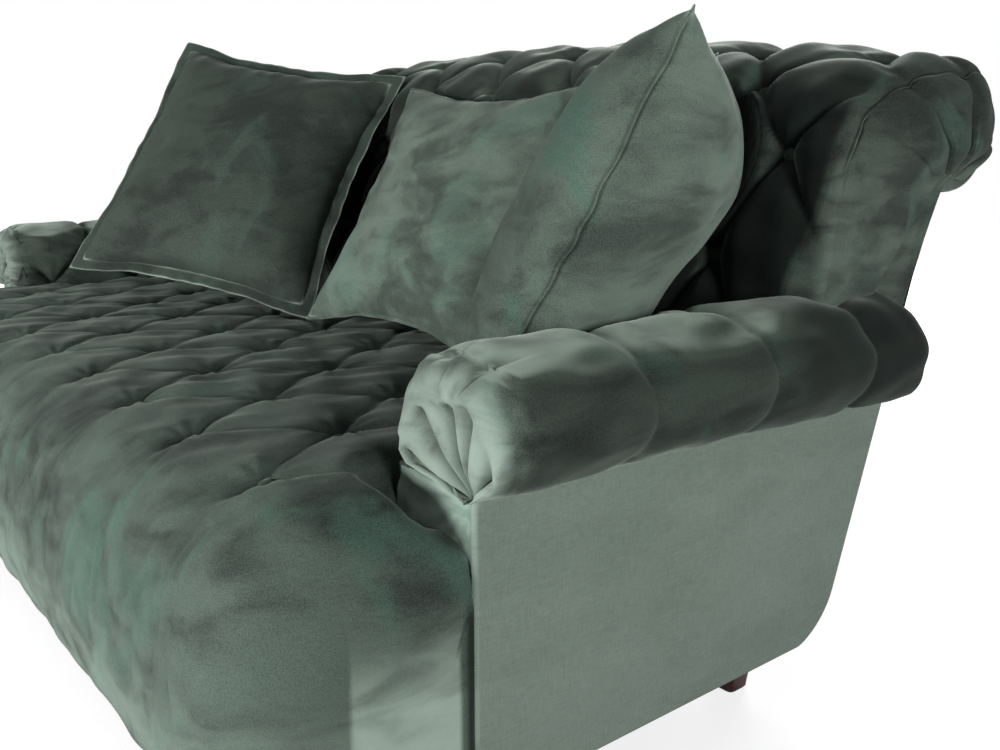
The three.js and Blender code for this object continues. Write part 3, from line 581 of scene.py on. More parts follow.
def joined(name: str, parts: Sequence[Piece]) -> Piece:
    """One object from several, by name.

    Args:
        name: Name of the new piece.
        parts: The objects that it takes up.

    Returns:
        The object.
    """
    work = bmesh.new()
    for part in parts:
        work.from_mesh(part.data)
        bpy.data.objects.remove(part)
    return from_bmesh(name, work)


# Node trees


@dataclass(frozen=True)
class Field:
    """A value in a node tree that can be used in Python sums."""

    graph: "Graph"
    socket: Socket

    def __add__(self, other: "Field | float") -> "Field":
        """This value plus another."""
        return self.graph.maths("ADD", self, other)

    def __radd__(self, other: "Field | float") -> "Field":
        """Another value plus this one."""
        return self.graph.maths("ADD", other, self)

    def __sub__(self, other: "Field | float") -> "Field":
        """This value less another."""
        return self.graph.maths("SUBTRACT", self, other)

    def __rsub__(self, other: "Field | float") -> "Field":
        """Another value less this one."""
        return self.graph.maths("SUBTRACT", other, self)

    def __mul__(self, other: "Field | float") -> "Field":
        """This value times another."""
        return self.graph.maths("MULTIPLY", self, other)

    def __rmul__(self, other: "Field | float") -> "Field":
        """Another value times this one."""
        return self.graph.maths("MULTIPLY", other, self)

    def sine(self) -> "Field":
        """Sine of the value."""
        return self.graph.maths("SINE", self)

    def step(self, low: float, high: float) -> "Field":
        """Eased step from 0 at low to 1 at high.

        Args:
            low: Where the step starts.
            high: Where it ends.

        Returns:
            The stepped value.
        """
        inputs = {"Value": self, "From Min": low, "From Max": high}
        node = self.graph.node("ShaderNodeMapRange", {"interpolation_type": "SMOOTHSTEP"}, inputs)
        return Field(self.graph, node.outputs["Result"])


@dataclass(frozen=True)
class Graph:
    """Adds nodes to a tree: type, settings, then values or links."""

    tree: bpy.types.NodeTree

    def node(self, kind: str, settings: dict | None = None, inputs: dict | None = None) -> bpy.types.Node:
        """A new node.

        Args:
            kind: Node type.
            settings: Properties set before the inputs.
            inputs: Values, fields or sockets by input name or number.

        Returns:
            The node.
        """
        made = self.tree.nodes.new(kind)
        for key, value in (settings or {}).items():
            setattr(made, key, value)
        for key, value in (inputs or {}).items():
            self.feed(made.inputs[key], value)
        return made

    def feed(self, socket: Socket, value: object) -> None:
        """Links a field or a socket, or sets a constant.

        Args:
            socket: The input.
            value: A field, a socket or a constant.
        """
        source = value.socket if isinstance(value, Field) else value
        if isinstance(source, Socket):
            self.tree.links.new(source, socket)
        else:
            socket.default_value = source

    def maths(self, operation: str, *values: "Field | float") -> Field:
        """A sum of one, two or three values."""
        node = self.node("ShaderNodeMath", {"operation": operation}, dict(enumerate(values)))
        return Field(self, node.outputs[0])

    def read(self, name: str) -> Field:
        """A value stored on the mesh."""
        return Field(self, self.node("ShaderNodeAttribute", {"attribute_name": name}).outputs["Fac"])

    def blend(self, share: "Field | float", low: object, high: object) -> Field:
        """A colour between two colours."""
        node = self.node("ShaderNodeMix", {"data_type": "RGBA"}, {0: share, 6: low, 7: high})
        return Field(self, node.outputs[2])

    def bump(self, height: Field, strength: float, reach: float) -> Field:
        """Normals bent by a height."""
        inputs = {"Strength": strength, "Distance": reach, "Height": height}
        return Field(self, self.node("ShaderNodeBump", None, inputs).outputs["Normal"])

    def noise(self, at: Field, scale: float, detail: float = 2.0, distortion: float = 0.0) -> Field:
        """Cloudy value from 0 to 1."""
        inputs = {"Vector": at, "Scale": scale, "Detail": detail, "Distortion": distortion}
        return Field(self, self.node("ShaderNodeTexNoise", None, inputs).outputs[0])

    def stretched(self, at: Field, scale: tuple[float, float, float]) -> Field:
        """Coordinates scaled along each axis."""
        node = self.node("ShaderNodeVectorMath", {"operation": "MULTIPLY"}, {0: at, 1: scale})
        return Field(self, node.outputs[0])


def linear(red: int, green: int, blue: int) -> tuple[float, float, float, float]:
    """A display colour of 0 to 255 as scene-linear values."""
    shares = (channel / 255.0 for channel in (red, green, blue))
    return tuple(v / 12.92 if v <= 0.04045 else ((v + 0.055) / 1.055) ** 2.4 for v in shares) + (1.0,)


def cleared(owner: bpy.types.ID) -> Graph:
    """The emptied node tree of a material or a world.

    Args:
        owner: The material or world.

    Returns:
        Its tree, ready for nodes.
    """
    owner.use_nodes = True
    owner.node_tree.nodes.clear()
    return Graph(owner.node_tree)


class Finish:
    """A principled material; each kind of finish has its own paint()."""

    name: str

    def material(self) -> bpy.types.Material:
        """The material, made once.

        Returns:
            The material, shared by all pieces with this finish.
        """
        known = bpy.data.materials.get(self.name)
        if known:
            return known
        made = bpy.data.materials.new(self.name)
        graph = cleared(made)
        at = Field(graph, graph.node("ShaderNodeTexCoord").outputs["Object"])
        shader = graph.node("ShaderNodeBsdfPrincipled", None, self.paint(graph, at))
        graph.node("ShaderNodeOutputMaterial", None, {"Surface": shader.outputs["BSDF"]})
        return made

    def paint(self, graph: Graph, at: Field) -> dict[str, object]:
        """Values of the shader's inputs.

        Args:
            graph: The material's tree.
            at: Object coordinates.

        Returns:
            Values and fields by the name of the shader's input.
        """
        raise NotImplementedError


@dataclass(frozen=True)
class Velvet(Finish):
    """Short-pile velvet with brushed patches and a woven ground."""

    name: str
    deep: tuple[int, int, int]
    pale: tuple[int, int, int]
    brushed: tuple[int, int, int]
    sheen_tint: tuple[int, int, int] = (206, 218, 208)
    sheen: float = 0.3
    patch: float = 4.0
    touch: float = 0.6
    contrast: float = 0.11
    weave: float = 0.3
    speckle: float = 0.2
    # Strength of the painted highlight on ridges, the colour of painted highlights, and the colour of painted
    # shade.
    ridge_highlight: float = 0.6
    painted_highlight: tuple[int, int, int] = (146, 162, 150)
    shadowed: tuple[int, int, int] = (13, 18, 16)
    lint: tuple[int, int, int] = (190, 204, 194)

    def paint(self, graph: Graph, at: Field) -> dict[str, object]:
        """Patches and threads, then painted light and shade, painted shade in hollows and painted highlights
        on ridges.

        Args:
            graph: The material's tree.
            at: Object coordinates.

        Returns:
            Values and fields by the name of the shader's input.
        """
        patches = graph.noise(at, self.patch, 3.0, 0.5)
        strokes = graph.noise(graph.stretched(at, (1.0, 0.6, 1.8)), self.patch * 3.6, 6.0, 0.6)
        nap = (patches * 0.55 + strokes * 0.45).step(0.5 - self.contrast, 0.5 + self.contrast)
        base = graph.blend(nap, linear(*self.deep), linear(*self.pale))
        other = graph.noise(graph.stretched(at, (1.3, 1.3, 0.8)), self.patch * 1.7, 5.0, 0.8)
        touched = other.step(0.54, 0.68) * self.touch
        colour = graph.blend(touched, base, linear(*self.brushed))
        fibre = graph.noise(at, 700.0, 3.0)
        warp = graph.noise(graph.stretched(at, (760.0, 760.0, 70.0)), 1.0, 2.0)
        weft = graph.noise(graph.stretched(at, (70.0, 70.0, 760.0)), 1.0, 2.0)
        cloth = (warp + weft) * 0.5
        thread = (cloth * self.weave + fibre * (1.0 - self.weave)).step(0.34, 0.64)
        shade = graph.blend(self.speckle, colour, (0.0, 0.0, 0.0, 1.0))
        speckled = graph.blend(thread, shade, graph.blend(self.speckle * 0.2, colour, linear(*self.lint)))
        # Painted light and shade stored on the mesh, and how sharply the surface bends.
        painted_shading, bend = graph.read("painted_shading"), graph.read("relief")
        # Painted shade where the stored value is below 0.
        painted_dark = graph.blend((0.0 - painted_shading).step(0.0, 1.0) * 0.86, speckled, linear(*self.shadowed))
        streak = (strokes * 0.7 + patches * 0.3).step(0.34, 0.6) * 0.65 + 0.35
        # Painted light where the stored value is above 0.
        painted_lit = graph.blend(painted_shading.step(0.0, 1.0) * streak * 0.74, painted_dark, linear(*self.painted_highlight))
        # Painted shade in hollows and creases, by how sharply the surface bends.
        sunk = graph.blend((0.0 - bend).step(6.0, 70.0) * 0.85, painted_lit, (0.002, 0.003, 0.003, 1.0))
        # Painted highlight on ridges.
        ridge_highlight = bend.step(22.0, 110.0) * (strokes.step(0.3, 0.7) * 0.6 + 0.4) * self.ridge_highlight
        height = fibre * 0.5 + cloth * 0.6 + strokes * 0.9 + graph.noise(at, 60.0, 3.0) * 0.6
        return {
            "Base Color": graph.blend(ridge_highlight, sunk, linear(*self.painted_highlight)),
            "Roughness": 0.86 - nap * 0.12,
            "Specular IOR Level": 0.14,
            "Sheen Weight": self.sheen,
            "Sheen Roughness": 0.38,
            "Sheen Tint": linear(*self.sheen_tint),
            "Normal": graph.bump(height, 0.32, 0.0016),
        }


class Grain(Enum):
    """Direction in which timber grain runs, as a stretch of the pattern."""

    ACROSS = (4.0, 60.0, 60.0)
    DEEP = (60.0, 4.0, 60.0)
    UPRIGHT = (60.0, 60.0, 4.0)


@dataclass(frozen=True)
class Timber(Finish):
    """Sawn or lacquered wood."""

    name: str
    light: tuple[int, int, int]
    dark: tuple[int, int, int]
    grain: Grain
    roughness: float = 0.62
    coat: float = 0.0

    def paint(self, graph: Graph, at: Field) -> dict[str, object]:
        """Growth rings and pores along the grain.

        Args:
            graph: The material's tree.
            at: Object coordinates.

        Returns:
            Values and fields by the name of the shader's input.
        """
        warped = graph.noise(graph.stretched(at, self.grain.value), 1.0, 4.0, 1.4)
        rings = ((warped * 22.0).sine() * 0.5 + 0.5).step(0.2, 0.9)
        pores = graph.noise(graph.stretched(at, self.grain.value), 9.0, 2.0).step(0.55, 0.75)
        tone = graph.blend(rings * 0.75, linear(*self.light), linear(*self.dark))
        return {
            "Base Color": graph.blend(pores * 0.35, tone, linear(*self.dark)),
            "Roughness": pores * 0.12 + self.roughness,
            "Coat Weight": self.coat,
            "Coat Roughness": 0.12,
            "Normal": graph.bump(rings * 0.3 - pores, 0.25, 0.0005),
        }


@dataclass(frozen=True)
class Steel(Finish):
    """Drawn steel wire and rolled bolt steel."""

    name: str = "drawn_steel"

    def paint(self, graph: Graph, at: Field) -> dict[str, object]:
        """Stains and fine drawn scratches.

        Args:
            graph: The material's tree.
            at: Object coordinates.

        Returns:
            Values and fields by the name of the shader's input.
        """
        stain = graph.noise(at, 30.0, 4.0)
        scratch = graph.noise(graph.stretched(at, (30.0, 30.0, 900.0)), 1.0, 2.0)
        tone = graph.blend(stain.step(0.4, 0.7) * 0.5, linear(168, 170, 172), linear(112, 112, 110))
        return {
            "Base Color": tone,
            "Metallic": 0.95,
            "Roughness": stain * 0.25 + 0.25,
            "Normal": graph.bump(scratch, 0.2, 0.0002),
        }


@dataclass(frozen=True)
class Weave(Finish):
    """Woven strap or non-woven lining, by its thread count."""

    name: str
    tone: tuple[int, int, int]
    thread: tuple[int, int, int]
    rate: float
    contrast: float = 1.0

    def paint(self, graph: Graph, at: Field) -> dict[str, object]:
        """Crossing threads under loose fibres.

        Args:
            graph: The material's tree.
            at: Object coordinates.

        Returns:
            Values and fields by the name of the shader's input.
        """
        parts = graph.node("ShaderNodeSeparateXYZ", None, {0: at})
        across, deep, high = (Field(graph, out) for out in parts.outputs)
        warp = (across * self.rate).sine() * 0.5 + 0.5
        weft = ((deep + high) * self.rate).sine() * 0.5 + 0.5
        fuzz = graph.noise(at, 420.0, 2.0)
        height = warp * weft * self.contrast + fuzz * 0.6
        colour = graph.blend(height.step(0.2, 1.2), linear(*self.tone), linear(*self.thread))
        return {
            "Base Color": colour,
            "Roughness": 0.95 - fuzz * 0.12,
            "Normal": graph.bump(height, 0.5, 0.0008),
        }


TUFTED_VELVET = Velvet("tufted_velvet", (19, 25, 22), (56, 67, 59), (52, 76, 66), ridge_highlight=0.4)
# A lighter copy of the tufted velvet for the seat, as painted light.
SEAT_LIT_TONES = ((22, 29, 25), (62, 75, 67), (56, 83, 72))
SEAT_LIT_VELVET = Velvet("seat_velvet_painted_lighter", *SEAT_LIT_TONES, sheen=0.14, patch=3.0, ridge_highlight=0.4)
# A much lighter copy of the tufted velvet for the arm facings, as painted light where they lie in shade.
FACING_LIT_VELVET = Velvet("facing_velvet_painted_lit", (62, 80, 73), (110, 134, 124), (84, 128, 115))
PLAIN_TONES = ((94, 106, 97), (101, 113, 104), (105, 117, 108))
PLAIN_VELVET = Velvet("plain_velvet_cover", *PLAIN_TONES, patch=2.5, touch=0.2, weave=0.8, speckle=0.16)
LEFT_TONES = ((19, 26, 22), (40, 50, 43), (46, 62, 54))
LEFT_VELVET = Velvet("left_cushion_velvet", *LEFT_TONES, sheen=0.16, patch=3.4)
MIDDLE_TONES = ((52, 62, 55), (90, 103, 93), (84, 106, 94))
MIDDLE_VELVET = Velvet("middle_cushion_velvet", *MIDDLE_TONES, sheen=0.2, patch=3.6)
RIGHT_TONES = ((33, 42, 37), (66, 79, 70), (50, 80, 69))
RIGHT_VELVET = Velvet("right_cushion_velvet", *RIGHT_TONES, patch=4.2, touch=0.7)
FRAME_TIMBER = {
    grain: Timber("sawn_timber_" + grain.name.lower(), (206, 172, 124), (168, 126, 80), grain)
    for grain in Grain
}
FOOT_TIMBER = Timber("stained_foot_timber", (62, 28, 22), (26, 12, 10), Grain.UPRIGHT, 0.34, 0.6)
STEEL = Steel()
STRAP = Weave("jute_and_elastic_strap", (40, 38, 36), (92, 86, 78), 1400.0)
LINING = Weave("dust_lining", (12, 12, 13), (34, 34, 36), 2600.0, 0.5)


def dress(obj: Piece, finish: Finish) -> None:
    """Gives an object one finish, and velvet the bends that its painted shade and painted highlights follow.

    Args:
        obj: The piece.
        finish: Its finish.
    """
    obj.data.materials.clear()
    obj.data.materials.append(finish.material())
    if isinstance(finish, Velvet):
        mark_relief(obj)


def store_painted_shading(obj: Piece, rule: Callable[[Array, Array], Array]) -> None:
    """Stores painted light and shade: 1 for full painted light, -1 for full painted shade.

    Args:
        obj: The upholstered piece.
        rule: Gives the painted light and shade from points, in millimetres behind the arm fronts, and
            normals.
    """
    places = vertex_rows(obj.data, "co") / MM - np.array([0.0, ARM_FRONT_Y, 0.0])
    store(obj.data, "painted_shading", np.clip(rule(places, vertex_rows(obj.data, "normal")), -1.0, 1.0))


def report(obj: Piece) -> None:
    """Says which piece is ready and how fine it is."""
    LOG.info("%s has %d faces", obj.name, len(obj.data.polygons))


# Cushions


class Edge(Enum):
    """How two faces meet: reach of the hem, half its thickness, and what the pad gives up for it."""

    FLANGE = (24.0, 1.6, 24.0)
    KNIFE = (3.0, 1.3, 3.0)
    SEAM = (2.6, 1.1, 4.5)


@dataclass(frozen=True)
class Cushion:
    """A loose square cushion and the place where it leans."""

    node: str
    body: str
    side: float
    thickness: float
    middle: tuple[float, float, float]
    turn: float
    lean: float
    roll: float
    finish: Velvet
    edge: Edge
    cells: int = 58
    draw_in: float = 26.0
    flat: float = 6.0
    crown_share: float = 0.34
    pucker: float = 1.7
    slack: float = 3.0
    peak: tuple[float, float] = (0.0, 0.0)
    rear_fill: float = 0.0
    # Strength of painted light on the face that points along the cushion's own depth axis, and painted shade
    # on the opposite face.
    painted_shading: float = 0.0

    def pose(self) -> Matrix:
        """Placement of the cushion's own frame, in millimetres behind the arm fronts.

        Returns:
            The placement as a matrix.
        """
        turn, lean, roll = (math.radians(angle) for angle in (self.turn, self.lean, self.roll))
        spin = Euler((0.0, 0.0, turn)).to_matrix() @ Euler((-lean, 0.0, 0.0)).to_matrix()
        return Matrix.Translation(self.middle) @ (spin @ Euler((0.0, roll, 0.0)).to_matrix()).to_4x4()

    def half_thickness(self, u: Array, v: Array) -> Array:
        """Half the thickness of the plain form at a place from -1 to 1."""
        inside = np.clip(1.0 - u**4, 0.0, 1.0) * np.clip(1.0 - v**4, 0.0, 1.0)
        return (self.flat + (self.thickness - self.flat) * inside**0.62) / 2.0

    def holds(self, points: Array, clearance: float) -> Array:
        """Which points lie inside the cushion swollen by a clearance.

        Args:
            points: Points, in millimetres behind the arm fronts.
            clearance: How far the cushion is swollen.

        Returns:
            True for each point inside.
        """
        back = np.array(self.pose().inverted())
        local = points @ back[:3, :3].T + back[:3, 3]
        half = self.side / 2.0 + clearance
        x, y, z = local.T
        u, v = x / half, z / half
        for _ in range(2):
            draw = self.draw_in / half
            u_new = x / (half * (1.0 - draw * (1.0 - np.clip(v, -1.0, 1.0) ** 2)))
            v = z / (half * (1.0 - draw * (1.0 - np.clip(u_new, -1.0, 1.0) ** 2)))
            u = u_new
        within = (np.abs(u) < 1.0) & (np.abs(v) < 1.0)
        u, v = np.clip(u, -1.0, 1.0), np.clip(v, -1.0, 1.0)
        fill = self.rear_fill * smooth((v + 0.25) / 0.6) * (y > 0.0)
        return within & (np.abs(y) < self.half_thickness(u, v) + fill + clearance)

    def _sheets(self) -> tuple[Array, Faces, Array]:
        """Two flat square faces joined at their rim, and the rim's points.

        Returns:
            The points, the faces, and the indices of the points on the rim.
        """
        n = self.cells
        spread = np.linspace(-1.0, 1.0, n + 1)
        u, v = np.meshgrid(spread, spread)
        half = self.side / 2.0
        crown = self.crown_share * self.half_thickness(u, v)
        front = np.stack([half * u, -crown, half * v], axis=-1).reshape(-1, 3)
        inner = [(i, j) for i in range(1, n) for j in range(1, n)]
        number = {(i, j): i * (n + 1) + j for i in range(n + 1) for j in range(n + 1)}
        behind = dict(number)
        extra = []
        for at in inner:
            behind[at] = len(front) + len(extra)
            point = front[number[at]]
            extra.append((point[0], -point[1], point[2]))
        rim = [(0, j) for j in range(n)] + [(i, n) for i in range(n)]
        rim += [(n, n - j) for j in range(n)] + [(n - i, 0) for i in range(n)]
        for i, j in rim:
            front[number[i, j], 1] = 0.0
        faces = []
        for i in range(n):
            for j in range(n):
                corners = [(i, j), (i, j + 1), (i + 1, j + 1), (i + 1, j)]
                faces.append(tuple(number[c] for c in corners))
                faces.append(tuple(behind[c] for c in reversed(corners)))
        points = np.concatenate([front, np.array(extra)])
        return points, faces, np.array([number[c] for c in rim])

    def _inflated(self, points: Array, faces: Faces) -> Array:
        """Args:
            points: Points of the two sheets.
            faces: Vertex indices of each face.

        Returns:
            The moved points.
        """
        half = self.side / 2.0
        u, v = points[:, 0] / half, points[:, 2] / half
        across = half * u * (1.0 - self.draw_in / half * (1.0 - v * v))
        up = half * v * (1.0 - self.draw_in / half * (1.0 - u * u))
        plain = np.column_stack([across, np.sign(points[:, 1]) * self.half_thickness(u, v), up])
        blown = self._eased(self._simulated(points, faces), faces)
        span = np.ptp(blown, axis=0)
        blown = (blown - (blown.max(axis=0) + blown.min(axis=0)) / 2.0) / span
        blown *= np.array([self.side, self.thickness, self.side])
        away = blown - plain
        far = np.linalg.norm(away, axis=1, keepdims=True)
        return plain + away * np.minimum(1.0, CLOTH_REACH / np.maximum(far, 1e-6)) * np.array(CLOTH_SHARE)

    def _eased(self, points: Array, faces: Faces) -> Array:
        """Cloth with its sharpest dents smoothed, as under a soft filling, and its bulk kept.

        Args:
            points: Points of the two sheets.
            faces: Vertex indices of each face.

        Returns:
            The moved points.
        """
        corners = np.array(faces)
        ends = np.concatenate([corners[:, [k, (k + 1) % 4]] for k in range(4)])
        number = np.bincount(ends[:, 0], minlength=len(points))[:, None]
        for turn in range(EASE_TURNS):
            around = np.zeros_like(points)
            np.add.at(around, ends[:, 0], points[ends[:, 1]])
            share = EASE_OUT if turn % 2 and turn > EASE_KEPT else EASE_IN
            points = (1.0 - share) * points + share * around / number
        return points

    def _simulated(self, points: Array, faces: Faces) -> Array:
        """Runs the cloth and returns its points.

        Args:
            points: Points of the two sheets.
            faces: Vertex indices of each face.

        Returns:
            The moved points.
        """
        mesh = bpy.data.meshes.new(self.node + "_cloth")
        mesh.from_pydata((points * MM).tolist(), [], faces)
        piece = linked(self.node + "_cloth", mesh)
        cloth = piece.modifiers.new("cloth", "CLOTH")
        for name, value in CLOTH_SETTINGS.items():
            setattr(cloth.settings, name, value)
        cloth.settings.effector_weights.gravity = 0.0
        cloth.point_cache.frame_start = 1
        cloth.point_cache.frame_end = CLOTH_FRAMES
        for step in range(1, CLOTH_FRAMES + 1):
            bpy.context.scene.frame_set(step)
        evaluated = piece.evaluated_get(bpy.context.evaluated_depsgraph_get())
        moved = vertex_rows(evaluated.data, "co") / MM
        bpy.data.objects.remove(piece)
        bpy.context.scene.frame_set(1)
        return moved

    def _creased(self, points: Array) -> Array:
        """Puckers that run in from the seam.

        Args:
            points: Points of the inflated cushion.

        Returns:
            The moved points.
        """
        half = self.side / 2.0
        u, v = points[:, 0] / half, points[:, 2] / half
        rim = np.maximum(np.abs(u), np.abs(v))
        along = np.where(np.abs(u) > np.abs(v), points[:, 2], points[:, 0])
        gather = np.sin(along / 11.0 + 2.2 * np.sin(along / 47.0)) * smooth((rim - 0.62) / 0.3)
        gather *= 1.0 - smooth((rim - 0.97) / 0.03)
        slack = ripples(points[:, 0], points[:, 2], 120.0, len(self.node)) * (1.0 - rim**2)
        points[:, 1] += np.sign(points[:, 1]) * (gather * self.pucker + slack * self.slack)
        return points

    def _flange(self, rim: Array, points: Array) -> tuple[Array, Faces]:
        """A flat sewn border outside the rim.

        Args:
            rim: Indices of the points on the rim.
            points: Points of the cushion.

        Returns:
            Points and faces of the border.
        """
        edge = points[rim]
        count = len(rim)
        reach, half_cloth, _ = self.edge.value
        out = edge / np.maximum(np.abs(edge[:, [0, 2]]).max(axis=1), 1e-6)[:, None]
        out[:, 1] = 0.0
        steps = (0.0, 0.35, 0.8, 1.0, 0.8, 0.35, 0.0)
        lifts = (1.0, 1.0, 0.9, 0.0, -0.9, -1.0, -1.0)
        wave = np.sin(np.arange(count) * 0.33) * 1.8 * (reach / 24.0)
        rings = []
        for share, lift in zip(steps, lifts):
            ring = edge + out * (reach * share - 7.0 * (share == 0.0))
            ring[:, 1] += half_cloth * lift + wave * share
            rings.append(ring)
        loops = np.concatenate(rings)
        faces = strip_faces(len(steps) + 1, count, wrap=True)
        return loops, [tuple(corner % len(loops) for corner in face) for face in faces]

    def build(self) -> Piece:
        """Sews, inflates, creases and places the cushion.

        Returns:
            The cover, dressed and riding on its own body.
        """
        points, faces, rim = self._sheets()
        full = self._creased(self._inflated(points, faces))
        shrink = 1.0 - 2.0 * self.edge.value[2] / self.side
        full[:, 0] *= shrink
        full[:, 2] *= shrink
        half = self.side / 2.0
        leftward = np.clip(1.0 - full[:, 0] / half, 0.0, 2.0)
        high = (leftward * np.clip(1.0 + full[:, 2] / half, 0.0, 2.0) / 4.0) ** 2
        behind = smooth(full[:, 1] / (0.5 * self.thickness)) * smooth((full[:, 2] / half + 0.15) / 0.6)
        full[:, 1] += self.rear_fill * behind
        full[:, 0] += self.peak[0] * high
        full[:, 2] += self.peak[1] * high
        border, border_faces = self._flange(rim, full)
        pose = np.array(self.pose())
        placed = [part @ pose[:3, :3].T + pose[:3, 3] for part in (full, border)]
        pad = make_object(self.node + "_pad", to_frame(placed[0]), faces)
        hem = make_object(self.node + "_hem", to_frame(placed[1]), border_faces)
        obj = joined(self.node + "_cover", (pad, hem))
        rounded = obj.modifiers.new("round", "SUBSURF")
        rounded.levels = rounded.render_levels = 1
        dress(applied(obj), self.finish)
        # Painted light on one face of the cushion and painted shade on the other, by its strength.
        store_painted_shading(obj, lambda places, normals: self.painted_shading * (normals @ pose[:3, 1]))
        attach(obj, self.body)
        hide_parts(self.node)
        report(obj)
        return obj


CUSHIONS = (
    Cushion(
        "left_cushion",
        "left_scatter",
        side=610.0,
        thickness=176.0,
        middle=(-300.0, 346.0, 722.0),
        turn=37.0,
        lean=34.0,
        roll=9.5,
        finish=LEFT_VELVET,
        edge=Edge.FLANGE,
        draw_in=15.0,
        peak=(24.0, 14.0),
    ),
    Cushion(
        "middle_cushion",
        "middle_scatter",
        side=530.0,
        thickness=130.0,
        middle=(288.0, 484.0, 663.0),
        turn=5.0,
        lean=31.0,
        roll=1.0,
        finish=MIDDLE_VELVET,
        edge=Edge.KNIFE,
    ),
    Cushion(
        "right_cushion",
        "right_scatter",
        side=536.0,
        thickness=230.0,
        middle=(841.0, 367.0, 680.0),
        turn=-53.0,
        lean=27.5,
        roll=0.0,
        finish=RIGHT_VELVET,
        edge=Edge.SEAM,
        rear_fill=24.0,
        painted_shading=0.42,
    ),
)


def dented(points: Array, inward: Array) -> Array:
    """Points pushed inwards until they are clear of every cushion.

    Args:
        points: Surface points, in millimetres behind the arm fronts.
        inward: Unit direction in which each point may give way.

    Returns:
        The moved points.
    """
    shape = points.shape
    flat, way = points.reshape(-1, 3).copy(), inward.reshape(-1, 3)
    for cushion in CUSHIONS:
        for _ in range(DENT_STEPS):
            pressed = cushion.holds(flat, DENT_CLEARANCE)
            if not pressed.any():
                break
            flat[pressed] += DENT_STEP * way[pressed]
    return flat.reshape(shape)


# Seat


